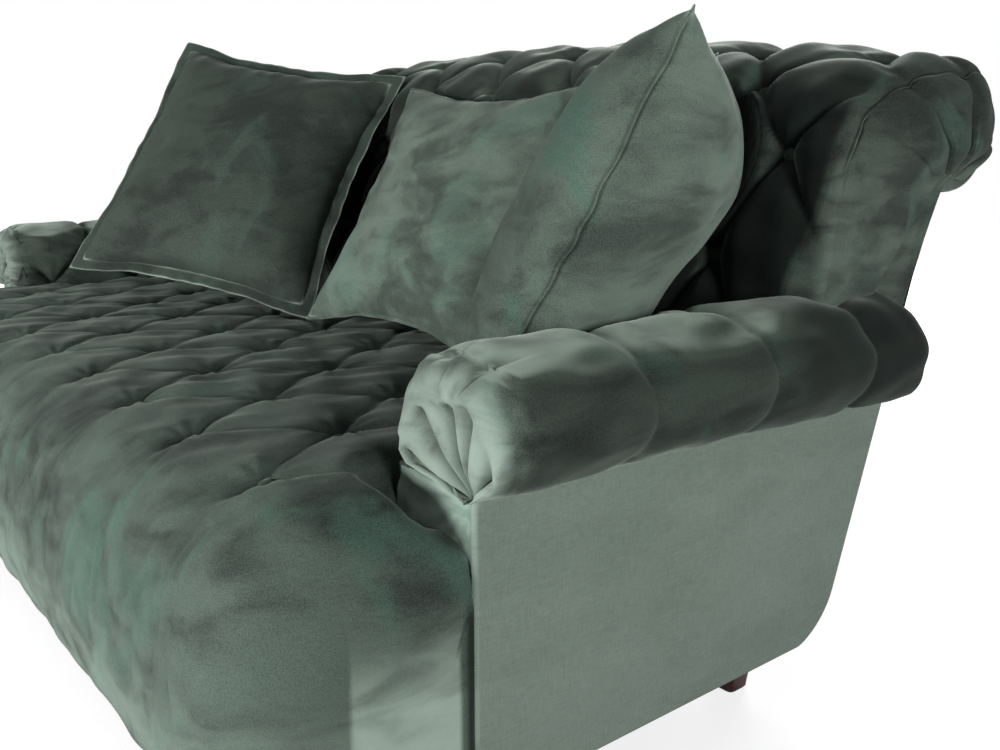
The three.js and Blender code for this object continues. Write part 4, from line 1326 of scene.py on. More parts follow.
@dataclass
class SeatUpholstery:
    """The deep-buttoned seat, rolled over its front edge and tucked under."""

    tufting: Tufting = Tufting(209.0, 153.0, 23.0, 4, crease=0.36, wrinkle=1.9, flatness=4.0)
    first_row: float = -141.0
    front: float = -297.0
    bow: float = 12.0
    corner_setback: float = 145.0
    crest: float = 437.0
    side_crest: float = 322.0
    side_round: float = 150.0
    side_bulge: float = 262.0
    roll: float = 185.0
    fullness: float = 0.82
    bulge: float = 200.0
    tuck: float = 86.0
    join: float = -1.0
    wall_foot: float = 203.0
    base_front: float = -217.0
    base_top: float = 290.0
    rail_top: float = 201.0
    rail_gap: float = 2.0
    arm_overlap: float = 903.0
    arm_drop: float = 88.0
    arm_fade: float = 70.0
    arm_crease: float = 24.0
    arm_crease_inner: float = 838.0
    back_crease: float = 20.0
    back_crease_front: float = 500.0
    tuft_margin: float = 155.0
    tuft_fall: float = 210.0
    side_middle: tuple[float, float] = (-66.0, 170.0)
    side_flat: float = 3.4
    rear: float = 556.0
    spacing: float = 5.2
    corner_steps: int = 64
    rear_rows: int = 92
    front_rows: int = 128

    def front_at(self, x: float) -> float:
        """Depth of the bulging front edge across the sofa."""
        inset = self.corner_setback * (1.0 - math.sqrt(1.0 - float(side_share(x, FRONT_CORNER)) ** 2))
        return self.front + self.bow * (x / HALF_WIDTH) ** 2 + inset

    def crest_at(self, x: float, setback: Array | float) -> Array:
        """Height of the seat before it is buttoned.

        Args:
            x: Place across the sofa.
            setback: Depths behind the arm fronts.

        Returns:
            The height at each depth.
        """
        side = float(side_share(x, self.side_round))
        crest = self.side_crest + (self.crest - self.side_crest) * math.sqrt(1.0 - side**2)
        beside = float(smooth((abs(x) - ARM_INNER + self.arm_fade / 2.0) / self.arm_fade))
        between = smooth((np.asarray(setback) + self.arm_fade) / self.arm_fade)
        return crest - self.arm_drop * beside * between * (1.0 - side)

    def front_profile(self, x: float) -> Array:
        """Side view from the arm fronts over the roll to the tucked edge.

        Args:
            x: Place across the sofa.

        Returns:
            Points from the rear of the roll to the foot.
        """
        front = self.front_at(x)
        start = front + self.roll
        pieces = []
        begin = 0.0
        if start < self.join:
            y = np.linspace(self.join, start, 30, endpoint=False)
            pieces.append(np.column_stack([y, self.crest_at(x, y)]))
        else:
            begin = math.asin(((start - self.join) / self.roll) ** (1.0 / self.fullness))
        angle = np.linspace(begin, QUARTER, 90)
        crest = float(self.crest_at(x, start))
        forward = np.sin(angle) ** self.fullness
        lift = np.clip(np.cos(angle), 0.0, 1.0) ** self.fullness
        corner = float(side_share(x, FRONT_CORNER))
        bulge = self.bulge + (self.side_bulge - self.bulge) * corner**2
        pieces.append(np.column_stack([start - self.roll * forward, bulge + (crest - bulge) * lift]))
        tuck = self.tuck * (1.0 - 0.8 * corner)
        under = np.linspace(0.0, QUARTER, 40)[1:]
        fall = bulge - (bulge - FOOT_HEIGHT) * np.sin(under)
        pieces.append(np.column_stack([front + tuck * (1.0 - np.cos(under)), fall]))
        return resampled(np.concatenate(pieces), self.front_rows)

    def rear_profile(self, x: float, top: float) -> Array:
        """Side view from the back to the arm fronts, or the wall against an arm front.

        Args:
            x: Place across the sofa.
            top: Height at which the front profile starts.

        Returns:
            Points that end where the front profile starts.
        """
        if abs(x) > self.arm_overlap:
            low = self.wall_foot if abs(x) < HALF_WIDTH - COVER else FOOT_HEIGHT + self.rail_gap
            z = np.linspace(low, top, self.rear_rows, endpoint=False)
            return np.column_stack([np.full(self.rear_rows, self.join), z])
        y = np.linspace(self.rear, self.join, self.rear_rows, endpoint=False)
        return np.column_stack([y, self.crest_at(x, y)])

    def _hidden(self, x: float, last: Array) -> Array:
        """Underside of the column, against the timber base.

        Args:
            x: Place across the sofa.
            last: Where the skin ends at its foot.

        Returns:
            Points from the foot to the rear.
        """
        back = max(last[0] + self.rail_gap, self.base_front)
        if abs(x) > HALF_WIDTH - COVER:
            return np.array([[y, FOOT_HEIGHT] for y in (back, -60.0, -self.rail_gap)])
        inside = abs(x) <= self.arm_overlap
        roof = self.base_top if inside else self.rail_top
        end = self.rear if inside else -self.rail_gap
        return np.array([[back, FOOT_HEIGHT], [back, roof], [end, roof]])

    def build(self) -> Piece:
        """The upholstered seat with its tufts, folds and cushion dents.

        Returns:
            The undressed seat.
        """
        loops, ways = [], []
        for x in stations_across(FRONT_CORNER, self.spacing, self.corner_steps):
            front = self.front_profile(x)
            skin = np.concatenate([self.rear_profile(x, front[0, 1]), front])
            normal = outward(skin, -1.0)
            depth = self._depth(x, skin)
            if abs(x) > self.arm_overlap:
                depth[: self.rear_rows] = 0.0
            skin = skin - normal * depth[:, None]
            skin[:, 1] = np.maximum(skin[:, 1], FOOT_HEIGHT)
            loop, inward = backed(skin, normal, self._hidden(x, front[-1]))
            place = np.full(len(loop), x)
            place[: len(skin)] -= math.copysign(1.0, x) * self._corner_crease(x, skin)
            loops.append(np.column_stack([place, loop]))
            ways.append(inward)
        loops = dented(np.array(loops), np.array(ways))
        shell = Shell(loops)
        for end, at_end in ENDS:
            edge = loops[end]
            middle = np.array([math.copysign(HALF_WIDTH, edge[0, 0]), *self.side_middle])
            rings = [edge + (middle - edge) * share for share in (0.05, 0.12, 0.4, 0.7)]
            for ring, swell in zip(rings, (-1.0, 1.0, 3.0, self.side_flat)):
                ring[:, 0] = middle[0] + math.copysign(swell, middle[0])
            middle[0] += math.copysign(self.side_flat, middle[0])
            shell.add_cap(np.array(rings), middle, at_end)
        return shell.build("seat_upholstery")

    def _depth(self, x: float, skin: Array) -> Array:
        """Depth of tufts, front pleats, edge rolls and small folds along one column.

        Args:
            x: Place across the sofa.
            skin: Side view of the column.

        Returns:
            The depth at each of its points.
        """
        y = skin[:, 0]
        across = np.full(len(y), x)
        path = walked(skin)
        roll = slice(self.rear_rows + 59, self.rear_rows - 1, -1)
        along = np.interp(self.first_row, y[roll], path[roll]) - path
        field = self.tufting.depth_at(across, along)
        side = 1.0 - smooth(side_share(x, self.tuft_margin))
        fade = 1.0 - 0.86 * smooth(-along / self.tuft_fall)
        depth = side * fade * field
        inner = (y > self.join).astype(float)
        depth += inner * self.arm_crease * smooth((abs(x) - self.arm_crease_inner) / 46.0)
        depth += self.back_crease * smooth((y - self.back_crease_front) / 45.0)
        corner = smooth((abs(x) - 955.0) / 60.0)
        slack = ripples(across, path, 80.0, 11) * 1.6
        return depth + slack * (1.0 - 0.5 * corner) + side * self._front_gathers(x, -along)

    def _front_gathers(self, x: float, fallen: Array) -> Array:
        """Depth of the fine folds that fan down the front from each button of the first row.

        Args:
            x: Place across the sofa.
            fallen: Distances below the first row of buttons.

        Returns:
            The depth at each distance.
        """
        pitch = self.tufting.pitch
        off = x - pitch * round(x / pitch)
        depth = np.zeros(len(fallen))
        for step in (-3, -2, -1, 1, 2, 3):
            line = step * (7.0 + 0.11 * fallen + 2.0 * math.sin(x / 190.0 + step))
            depth += np.exp(-(((off - line) / 6.5) ** 2)) * (3.6 - 0.6 * abs(step))
        return depth * smooth(fallen / 50.0) * (1.0 - smooth((fallen - 250.0) / 160.0))

    def _corner_crease(self, x: float, skin: Array) -> Array:
        """How far the upright fold in front of the plain side band is drawn in.

        Args:
            x: Place across the sofa.
            skin: Side view of the column.

        Returns:
            How far each point moves towards the middle.
        """
        y, z = skin.T
        share = float(side_share(x, FRONT_CORNER))
        level = math.sqrt(max(0.0, 1.0 - share * share))
        fold = 3.0 * math.exp(-(((level - 0.07) / 0.04) ** 2)) * smooth((318.0 - z) / 90.0) * (y < -90.0)
        gap = 5.5 * float(smooth((abs(x) - HALF_WIDTH + 14.0) / 12.0)) * smooth((y + 16.0) / 14.0)
        return fold + gap

    def pile(self, places: Array, normals: Array) -> Array:
        """Painted light over the front, painted shade on the deck between the arms, a pale side band, and a
        painted shadow in the gap where the band meets the arm.

        Args:
            places: Points, in millimetres behind the arm fronts.
            normals: Their outward directions.

        Returns:
            The painted light at each point, painted shade below 0.
        """
        down = smooth((0.75 - normals[:, 2]) / 0.5) * smooth((335.0 - places[:, 2]) / 190.0)
        deck = smooth((places[:, 1] + 190.0) / 200.0) * smooth((places[:, 2] - 300.0) / 60.0)
        side = smooth((np.abs(normals[:, 0]) - 0.45) / 0.4) * smooth((places[:, 1] + 155.0) / 8.0)
        side *= smooth((350.0 - places[:, 2]) / 150.0)
        # Painted shadow in the narrow gap between the side band and the arm.
        seam = smooth((places[:, 1] + 17.0) / 5.0) * smooth((np.abs(places[:, 0]) - HALF_WIDTH + 24.0) / 8.0)
        seam *= smooth((345.0 - places[:, 2]) / 60.0)
        return np.maximum(0.42 * down - 0.95 * deck, 0.95 * side) * (1.0 - seam) - seam

    def button_places(self) -> tuple[list, list]:
        """Points and directions of the seat's buttons.

        Returns:
            Their places, in millimetres, and the way each faces.
        """
        places, facing = [], []
        for x, along in self.tufting.buttons(ARM_INNER - 20.0):
            y = self.first_row + along
            if y > 520.0:
                continue
            start = self.front_at(x) + self.roll
            if y >= start:
                z, normal = float(self.crest_at(x, y)), (0.0, 0.0, 1.0)
            else:
                forward = (start - y) / self.roll
                angle = math.asin(forward ** (1.0 / self.fullness))
                z = self.bulge + (self.crest - self.bulge) * math.cos(angle) ** self.fullness
                normal = (0.0, -0.32, 0.947)
            sink = self.tufting.depth * 0.93 - 1.0
            places.append((x, y - normal[1] * sink, z - normal[2] * sink))
            facing.append(normal)
        return places, facing


# Back


@dataclass
class BackUpholstery:
    """The arched, buttoned back with its rolled top."""

    tufting: Tufting = Tufting(209.0, 153.0, 42.0, 4, seed=8)
    first_row: float = 470.0
    radius: float = 104.0
    centre: float = 905.0
    height: float = 810.0
    bottom: float = 300.0
    shoulder: float = 760.0
    shoulder_lift: float = 95.0
    shoulder_lead: float = 190.0
    rolled: float = 192.0
    gather: tuple[float, float] = (856.0, 723.0)
    cap_middle: tuple[float, float] = (850.0, 737.0)
    cap_rings: int = 42
    dome: float = 40.0
    fan: tuple[float, ...] = (21.0, 53.0, 102.0, 152.0, 196.0)
    wing_fold: tuple[tuple[float, float], tuple[float, float]] = ((627.0, 688.0), (817.0, 648.0))
    pleat_depth: float = 7.0
    cap_pleat_depth: float = 9.0
    wing_fold_depth: float = 5.0
    behind: float = 7.0
    arm_top: float = 424.0
    arm_side: float = 1028.0
    rounding: float = 60.0
    end_inset: float = 26.0
    spacing: float = 5.4
    end_steps: int = 15
    rows: int = 186
    face_rows: int = 60

    def profile(self, x: float) -> Array:
        """Side view from the foot of the face over the roll to its underside.

        Args:
            x: Place across the sofa.

        Returns:
            Evenly spaced points.
        """
        rise = float(camel(x))
        top = self.shoulder + rise / 2.0
        up = self.height + rise
        face = np.linspace(self.bottom, top, 60, endpoint=False)
        t = np.linspace(0.0, 1.0, 60, endpoint=False)[:, None]
        p0 = np.array([back_face(top), top])
        p1 = np.array([back_face(top + self.shoulder_lift), top + self.shoulder_lift])
        p2 = np.array([self.centre - self.shoulder_lead, up + self.radius])
        p3 = np.array([self.centre, up + self.radius])
        s = 1.0 - t
        # A cubic curve bends the face over into the roll.
        shoulder = s**3 * p0 + 3 * s * s * t * p1 + 3 * s * t * t * p2 + t**3 * p3
        angle = QUARTER - np.linspace(0.0, math.radians(self.rolled), 90)
        roll = np.column_stack([self.centre + self.radius * np.cos(angle), up + self.radius * np.sin(angle)])
        path = np.concatenate([np.column_stack([back_face(face), face]), shoulder, roll])
        return resampled(path, self.rows)

    def _first_button(self, skin: Array) -> float:
        """Distance along a column at which its first row of buttons lies."""
        return np.interp(self.first_row, skin[: self.face_rows, 1], walked(skin)[: self.face_rows])

    def _tuft_depth(self, x: float, skin: Array) -> Array:
        """Depth of tufts and slack along one column.

        Args:
            x: Place across the sofa.
            skin: Side view of the column.

        Returns:
            The depth at each of its points.
        """
        path = walked(skin)
        climbed = path - self._first_button(skin)
        across = np.full(len(path), x + self.tufting.pitch / 2.0)
        field = self.tufting.depth_at(across, climbed)
        over = smooth((climbed - 4.35 * self.tufting.row) / 260.0)
        side = 1.0 - smooth((abs(x) - 975.0) / 58.0)
        slack = ripples(np.full(len(path), x), path, 90.0, 21) * 1.8
        return side * field * (1.0 - 0.75 * over) + slack

    def build(self) -> Piece:
        """The upholstered back with pleated roll ends.

        Returns:
            The undressed back.
        """
        loops, ways = [], []
        for x in stations_across(self.rounding, self.spacing, self.end_steps):
            skin = self.profile(x)
            normal = outward(skin, 1.0)
            turned = self.rounding - np.clip(HALF_WIDTH - abs(x), 0.0, self.rounding)
            inset = self.end_inset / self.rounding * (self.rounding - math.sqrt(self.rounding**2 - turned**2))
            pleats = fan_folds(skin, self.gather, self.fan) * smooth((skin[:, 1] - 745.0) / 40.0)
            pleats = self.pleat_depth * pleats * smooth((abs(x) - 960.0) / 70.0)
            depth = inset + self._tuft_depth(x, skin) + pleats
            skin = skin - normal * depth[:, None]
            skin[:, 1] = np.maximum(skin[:, 1], self.bottom)
            seam = BACK_SEAM[1] + float(camel(x))
            heights = np.array([seam - 4.0, seam, self.bottom])
            offsets = np.array([30.0, -self.behind, -self.behind])
            depths = rake_setback(np.array([seam, seam, self.bottom])) + offsets
            loop, inward = backed(skin, normal, np.column_stack([depths, heights]))
            place = np.full(len(loop), x)
            spare = max(0.0, abs(x) - self.arm_side)
            place -= math.copysign(spare, x) * (1.0 - smooth((loop[:, 1] - self.arm_top) / 16.0))
            loops.append(np.column_stack([place, loop]))
            ways.append(inward)
        loops = dented(np.array(loops), np.array(ways))
        shell = Shell(loops)
        for end, at_end in ENDS:
            self._side_cap(shell, loops[end], at_end)
        return shell.build("back_upholstery")

    def _side_cap(self, shell: Shell, edge: Array, at_end: bool) -> None:
        """The plain side of the back and the domed, pleated end of its roll.

        Args:
            shell: The body that is closed.
            edge: Its loop at this side.
            at_end: Whether that is the last loop.
        """
        hand = 1.0 if at_end else -1.0
        middle = np.array(self.cap_middle)
        start = edge[:, 0] * hand
        rings = []
        for step in np.linspace(0.0, 1.0, self.cap_rings + 2)[1:-1]:
            share = 1.0 - math.cos(step * QUARTER)
            spots = edge[:, 1:] + (middle - edge[:, 1:]) * share
            domed = self.dome * math.sqrt(1.0 - (1.0 - share) ** 2) * smooth((spots[:, 1] - 712.0) / 70.0)
            away = np.hypot(spots[:, 0] - self.gather[0], spots[:, 1] - self.gather[1])
            folds = self.cap_pleat_depth * fan_folds(spots, self.gather, self.fan) * smooth(away / 30.0)
            folds *= smooth((spots[:, 1] - 700.0) / 30.0) * float(smooth(share / 0.02))
            drape = ripples(spots[:, 0], spots[:, 1], 80.0, 31) * 1.6 * float(smooth(share / 0.1))
            puff = 3.0 * float(smooth(share / 0.2)) * smooth((edge[:, 2] - self.arm_top) / 30.0)
            reach = start + domed + puff + drape - folds - self._wing_crease(*spots.T)
            rings.append(np.column_stack([hand * reach, spots]))
        tip = np.array([hand * (HALF_WIDTH + self.dome * 0.3), *middle])
        shell.add_cap(np.array(rings), tip, at_end)

    def _wing_crease(self, y: Array, z: Array) -> Array:
        """Depth of the fold pulled across the side of the back.

        Args:
            y: Depths behind the arm fronts.
            z: Heights.

        Returns:
            The depth of the fold at each place.
        """
        (y0, z0), (y1, z1) = self.wing_fold
        length = math.hypot(y1 - y0, z1 - z0)
        along = ((y - y0) * (y1 - y0) + (z - z0) * (z1 - z0)) / length**2
        off = ((y - y0) * (z1 - z0) - (z - z0) * (y1 - y0)) / length
        ends = smooth(along / 0.3) * (1.0 - smooth((along - 0.95) / 0.1))
        return self.wing_fold_depth * np.exp(-np.abs(off) / 7.0) * ends

    def pile(self, places: Array, normals: Array) -> Array:
        """Painted shade on the face and over the top, and slight painted light at the sides.

        Args:
            places: Points, in millimetres behind the arm fronts.
            normals: Their outward directions.

        Returns:
            The painted light at each point, painted shade below 0.
        """
        face = smooth((-normals[:, 1] - 0.1) / 0.5) * smooth((905.0 - places[:, 2]) / 90.0)
        wing = 1006.0 - 46.0 * smooth((760.0 - places[:, 2]) / 220.0)
        outer = smooth((np.abs(places[:, 0]) - wing) / 26.0)
        side = np.maximum(smooth((np.abs(normals[:, 0]) - 0.3) / 0.5), outer)
        return (0.04 + 0.2 * smooth((810.0 - places[:, 2]) / 90.0)) * side - (1.0 * face + 0.7) * (1.0 - side)

    def button_places(self) -> tuple[list, list]:
        """Points and directions of the back's buttons.

        Returns:
            Their places, in millimetres, and the way each faces.
        """
        places, facing = [], []
        for across, climbed in self.tufting.buttons(HALF_WIDTH - 70.0, 0.5):
            skin = self.profile(across)
            at = self._first_button(skin) + climbed
            out = point_at(at, skin, outward(skin, 1.0))
            point = point_at(at, skin, skin) - out * (self.tufting.depth * 0.93 - 1.0)
            places.append((across, *point))
            facing.append((0.0, *out))
        spots, inward = np.array(places), -np.array(facing)
        pressed = dented(spots, inward)
        moved = np.linalg.norm(pressed - spots, axis=1, keepdims=True) > 0.0
        return list(pressed + inward * 6.0 * moved), facing


# Arms


@dataclass
class ArmUpholstery:
    """A rolled arm: buttoned inside, pleated over the roll and gathered at its front."""

    label: str
    hand: float
    tufting: Tufting = Tufting(208.0, 112.0, 27.0, 1, crease=0.5, button_spread=34.0, flatness=7.0, seed=14)
    first_button: float = 86.0
    button_height: float = 430.0
    centre: float = 998.5
    half: float = 116.5
    height: float = 501.0
    rise: float = 79.0
    drop: float = 79.0
    rear_drop: float = 104.0
    nose: float = 12.0
    front_round: float = 57.0
    rear: float = 762.0
    rear_round: float = 62.0
    rear_gap: float = 9.0
    gather: tuple[float, float] = (1036.0, 427.0)
    fan: tuple[float, ...] = (12.0, 42.0, 70.0, 93.0, 136.0)
    scroll: tuple = ((1000.0, 423.0), (946.0, 425.0), (912.0, 430.0), (892.0, 444.0), (883.0, 465.0))
    wall_foot: float = 300.0
    pleat_depth: float = 8.0
    gather_depth: float = 17.0
    gather_dome: float = 4.0
    gather_fall: float = 9.0
    perimeter: int = 210

    def outline(self, setback: float) -> Array:
        """Front view of the skin at a depth, from its inner foot over the roll to the seam.

        Args:
            setback: Depth behind the arm fronts.

        Returns:
            Evenly spaced points, for the right arm.
        """
        share = np.clip(setback / self.rear, 0.0, 1.0)
        drop = self.drop + (self.rear_drop - self.drop) * share**2
        wall = np.array([[ARM_INNER, z] for z in np.linspace(self.wall_foot, self.scroll[-1][1], 60)])
        under = resampled(np.array([self.gather, *self.scroll]), len(wall))
        near = float(smooth((22.0 - setback) / 14.0))
        foot = wall * (1.0 - near) + under * near
        turn = np.linspace(math.pi, -math.radians(70.7), 160)
        tall = np.where(np.sin(turn) > 0.0, self.rise, drop)
        roll = np.column_stack([self.centre + self.half * np.cos(turn), self.height + tall * np.sin(turn)])
        roll[:, 1] = np.maximum(roll[:, 1], SEAM_HEIGHT)
        straight = np.array([[ARM_INNER, z] for z in np.linspace(470.0, 498.0, 8)])
        return resampled(np.concatenate([foot, straight, roll]), self.perimeter)

    def _stations(self) -> list[tuple[float, float]]:
        """Depths from the front with the inset at each.

        Returns:
            Pairs of a depth and an inset.
        """
        stations = []
        for turn in np.linspace(QUARTER, 0.0, 16):
            toward = self.front_round * (1.0 - math.sin(turn))
            inset = 0.92 * self.front_round * (1.0 - math.cos(turn))
            stations.append((toward - self.nose, inset))
        middle = np.linspace(self.front_round - self.nose, self.rear - self.rear_round, 122)[1:-1]
        stations += [(float(y), 0.0) for y in middle]
        for turn in np.linspace(0.0, QUARTER, 12):
            toward = self.rear_round * (1.0 - math.sin(turn))
            inset = 0.92 * self.rear_round * (1.0 - math.cos(turn))
            stations.append((self.rear - toward, inset))
        return stations

    def _section(self, setback: float, inset: float) -> tuple[Array, Array]:
        """Skin and inward direction of one section.

        Args:
            setback: Depth behind the arm fronts.
            inset: How far the ends are rounded off there.

        Returns:
            The skin and its inward directions.
        """
        line = self.outline(setback)
        hub = np.array([self.centre - 8.0, self.height - 12.0])
        inward = -outward(line, 1.0)
        toward = hub - line
        away = np.linalg.norm(line - np.array(self.gather), axis=1)
        toward /= np.maximum(np.linalg.norm(toward, axis=1), 1e-6)[:, None]
        pull = inset * smooth(away / 105.0) * (0.3 + 0.7 * smooth((line[:, 1] - 430.0) / 90.0))
        path = walked(line)
        level = np.interp(self.button_height, line[:90, 1], path[:90])
        climbed = path - level
        across = np.full(len(path), setback - self.first_button)
        field = self.tufting.depth_at(across, climbed)
        over = 1.0 - 0.3 * smooth((climbed - 150.0) / 200.0)
        ends = smooth((setback - 18.0) / 46.0) * (1.0 - smooth((setback - 640.0) / 60.0))
        seam = smooth((path[-1] - path) / 40.0)
        slack = ripples(np.full(len(path), setback), path, 75.0, 41 + int(self.hand)) * 1.6
        folds = self.pleat_depth * fan_folds(line, self.gather, self.fan) * bell(np.array(setback), 60.0)
        depth = ends * over * seam * field + (slack + folds) * seam
        moved = line + toward * pull[:, None] + inward * depth[:, None]
        return moved, inward

    def build(self) -> Piece:
        """The upholstered arm.

        Returns:
            The undressed arm.
        """
        loops, ways = [], []
        for setback, inset in self._stations():
            line, inward = self._section(setback, inset)
            loops.append(np.insert(line * (self.hand, 1.0), 1, setback, axis=1))
            ways.append(np.insert(inward * (self.hand, 1.0), 1, 0.0, axis=1))
        loops = dented(np.array(loops), np.array(ways))
        behind = np.minimum(loops[..., 1], rake_setback(loops[..., 2]) - self.rear_gap)
        loops[..., 1] = np.where(np.abs(loops[..., 0]) < HALF_WIDTH + 1.0, behind, loops[..., 1])
        shell = Shell(loops)
        self._front_cap(shell, loops[0])
        rear = loops[-1]
        middle = np.array([self.hand * self.centre, self.rear, self.height - 30.0])
        shell.add_cap(np.array([rear + (middle - rear) * s for s in (0.3, 0.7)]), middle, True)
        return shell.build(self.label + "_arm_upholstery")

    def _front_cap(self, shell: Shell, edge: Array) -> None:
        """Pleats that meet at the seam corner on the front.

        Args:
            shell: The body that is closed.
            edge: Its first loop.
        """
        apex = np.array([self.hand * self.gather[0], -3.0, self.gather[1]])
        reach = np.linalg.norm(edge - apex, axis=1)
        rings = []
        for share in np.linspace(0.0, 1.0, 26)[1:-1]:
            ring = edge + (apex - edge) * share
            dome = self.gather_dome * math.sin(math.pi * min(1.0, share * 1.15)) if share < 0.87 else 0.0
            folds = fan_folds(np.column_stack([np.abs(ring[:, 0]), ring[:, 2]]), self.gather, self.fan)
            gathered = self.gather_depth * folds * np.minimum(1.0, reach * (1.0 - share) / 40.0)
            gathered *= float(smooth((share + 0.15) / 0.3))
            fall = self.gather_fall * float(smooth((share - 0.55) / 0.45))
            ring[:, 1] = -self.nose - dome + gathered + fall
            rings.append(ring)
        shell.add_cap(np.array(rings), apex, False)

    def pile(self, places: Array, normals: Array) -> Array:
        """Painted light on the gathered front and the crest, painted shade down the outside and towards the
        rear.

        Args:
            places: Points, in millimetres behind the arm fronts.
            normals: Their outward directions.

        Returns:
            The painted light at each point, painted shade below 0.
        """
        front = smooth((26.0 - places[:, 1]) / 44.0)
        crest = smooth((normals[:, 2] - 0.72) / 0.26) * (1.0 - smooth((places[:, 1] - 420.0) / 120.0))
        outer = smooth((self.hand * normals[:, 0] - 0.15) / 0.6)
        rear = smooth((places[:, 1] - 380.0) / 160.0)
        return 0.72 * front + 1.1 * crest * (1.0 - front) - (0.55 * outer + 0.6 * rear) * (1.0 - front)

    def button_places(self) -> tuple[list, list]:
        """Points and directions of the buttons inside the arm.

        Returns:
            Their places, in millimetres, and the way each faces.
        """
        places, facing = [], []
        for step in range(3):
            y = self.first_button + step * self.tufting.pitch
            x = self.hand * (ARM_INNER + self.tufting.depth * 0.9 - 1.0)
            places.append((x, y, self.button_height))
            facing.append((-self.hand, 0.0, 0.0))
        return places, facing


# Plain covers


@dataclass
class ArmPanels:
    """The plain outside panel and the narrow front facing of one arm."""

    label: str
    hand: float
    overlap: float = 2.0
    front_gap: float = 2.5
    outside_span: float = 760.0
    facing_inner: float = 884.0
    facing_foot: float = 200.0
    facing_margin: float = 7.0
    facing_spans: tuple[float, float] = (226.0, 149.0)
    puff: float = 2.6
    rim: float = 5.0
    facing_rim: float = 5.5

    def outside(self) -> Piece:
        """The outside arm panel, from the front seam to the raked rear edge.

        Returns:
            The undressed panel.
        """
        down, across = panel_grid(70, 130)
        foot = FOOT_HEIGHT - self.overlap
        z = foot + (SEAM_HEIGHT + self.overlap - foot) * down
        end = rake_setback(z) + self.overlap - base_tuck(z, foot)
        y = -self.front_gap + (end + self.front_gap) * across
        edge = edge_distance(down, across, (SEAM_HEIGHT - FOOT_HEIGHT, self.outside_span))
        puff = self.puff * smooth(edge / 90.0)
        drape = ripples(y, z, 150.0, 51) * 0.9 * smooth(edge / 40.0)
        hang = 0.8 * np.sin(y / 23.0 + ripples(y, z, 200.0, 52)) * smooth((z - 330.0) / 96.0)
        x = HALF_WIDTH + puff + drape + hang * smooth(edge / 20.0) - edge_drop(edge, self.rim)
        front = np.stack([self.hand * x, y, z], axis=-1)
        back = np.stack([np.full_like(y, self.hand * (HALF_WIDTH - COVER)), y, z], axis=-1)
        return panel_object(self.label + "_arm_outside", front, back)

    def facing(self) -> Piece:
        """The narrow panel below the arm's gathered front.

        Returns:
            The undressed panel.
        """
        down, across = panel_grid(60, 44)
        x = self.facing_inner + (HALF_WIDTH - self.facing_margin - self.facing_inner) * across
        z = self.facing_foot + (SEAM_HEIGHT + 3.0 - self.facing_foot) * down
        edge = edge_distance(down, across, self.facing_spans)
        radiating = 0.9 * np.sin(np.arctan2(430.0 - z, 1040.0 - x) * 22.0) * smooth((z - 330.0) / 96.0)
        y = -1.0 - 2.4 * smooth(edge / 40.0) + edge_drop(edge, self.facing_rim)
        y -= radiating * smooth(edge / 12.0)
        y += 9.0 * smooth((z - 396.0) / 30.0) * smooth((930.0 - x) / 40.0)
        front = np.stack([self.hand * x, y, z], axis=-1)
        back = np.stack([self.hand * x, np.full_like(x, COVER), z], axis=-1)
        return panel_object(self.label + "_arm_front_facing", front, back)


@dataclass
class BackPanel:
    """The plain outside back."""

    half_width: float = HALF_WIDTH - 1.0
    top: float = 722.0
    span: float = 680.0
    thickness: float = 6.5
    puff: float = 3.0
    rim: float = 8.0

    def build(self) -> Piece:
        """The panel along the rake under the rolled top.

        Returns:
            The undressed panel.
        """
        down, across = panel_grid(96, 240, 0.4)
        x = (-1.0 + 2.0 * across) * self.half_width
        z = FOOT_HEIGHT + (self.top + camel(x) - FOOT_HEIGHT) * down
        edge = edge_distance(down, across, (self.span, 2.0 * HALF_WIDTH))
        tucked = base_tuck(z, FOOT_HEIGHT)
        puff = self.puff * smooth(edge / 120.0) + ripples(x, z, 170.0, 61) * smooth(edge / 50.0)
        pulls = 0.9 * np.sin(x / 31.0 + ripples(x, z, 260.0, 62)) * smooth((down - 0.72) / 0.25)
        y = rake_setback(z) + puff + pulls * smooth(edge / 20.0) - edge_drop(edge, self.rim) - tucked
        front = np.stack([x, y, z], axis=-1)
        back = np.stack([x, rake_setback(z) - self.thickness - tucked, z], axis=-1)
        return panel_object("back_outside", front, back)


@dataclass
class Foot:
    """A short tapered timber foot."""

    label: str
    x: float
    y: float
    top: float = 66.0
    bottom: float = 40.0
    height: float = 68.4
    squareness: float = 5.0
    softness: float = 2.2

    def build(self) -> Piece:
        """The foot, square with soft corners and a hollow taper.

        Returns:
            The undressed foot.
        """
        around, steps = 48, 26
        angle = np.linspace(0.0, math.tau, around, endpoint=False)
        power = self.squareness
        bulk = (np.abs(np.cos(angle)) ** power + np.abs(np.sin(angle)) ** power) ** (-1.0 / power)
        loops = []
        for i in range(steps):
            share = i / (steps - 1)
            half = (self.bottom + (self.top - self.bottom) * share**1.6) / 2.0
            edge = min(share, 1.0 - share) * self.height
            half -= float(edge_drop(edge, self.softness))
            ring = [self.x + half * bulk * np.cos(angle), self.y + half * bulk * np.sin(angle)]
            loops.append(np.column_stack([*ring, np.full(around, share * self.height)]))
        loops = np.array(loops)
        shell = Shell(loops)
        for end, at_end in ENDS:
            middle = loops[end].mean(axis=0)
            shell.add_cap(np.array([loops[end] + (middle - loops[end]) * 0.12]), middle, at_end)
        return shell.build(self.label + "_foot_turned")


# Repeats


SCATTER_INPUTS = {
    "Points": "NodeSocketGeometry",
    "Size": "NodeSocketVector",
    "Finish": "NodeSocketMaterial",
    "Seed": "NodeSocketInt",
}
SCATTER_SCALES = (0.93, 1.05)
BUTTON_SIZE = (0.0125, 0.0125, 0.0075)
STAPLE_SIZE = (0.0058, 0.0006, 0.0005)


class Repeat(Enum):
    """The small shape that a scatter repeats."""

    BUTTON = "button"
    STAPLE = "staple"


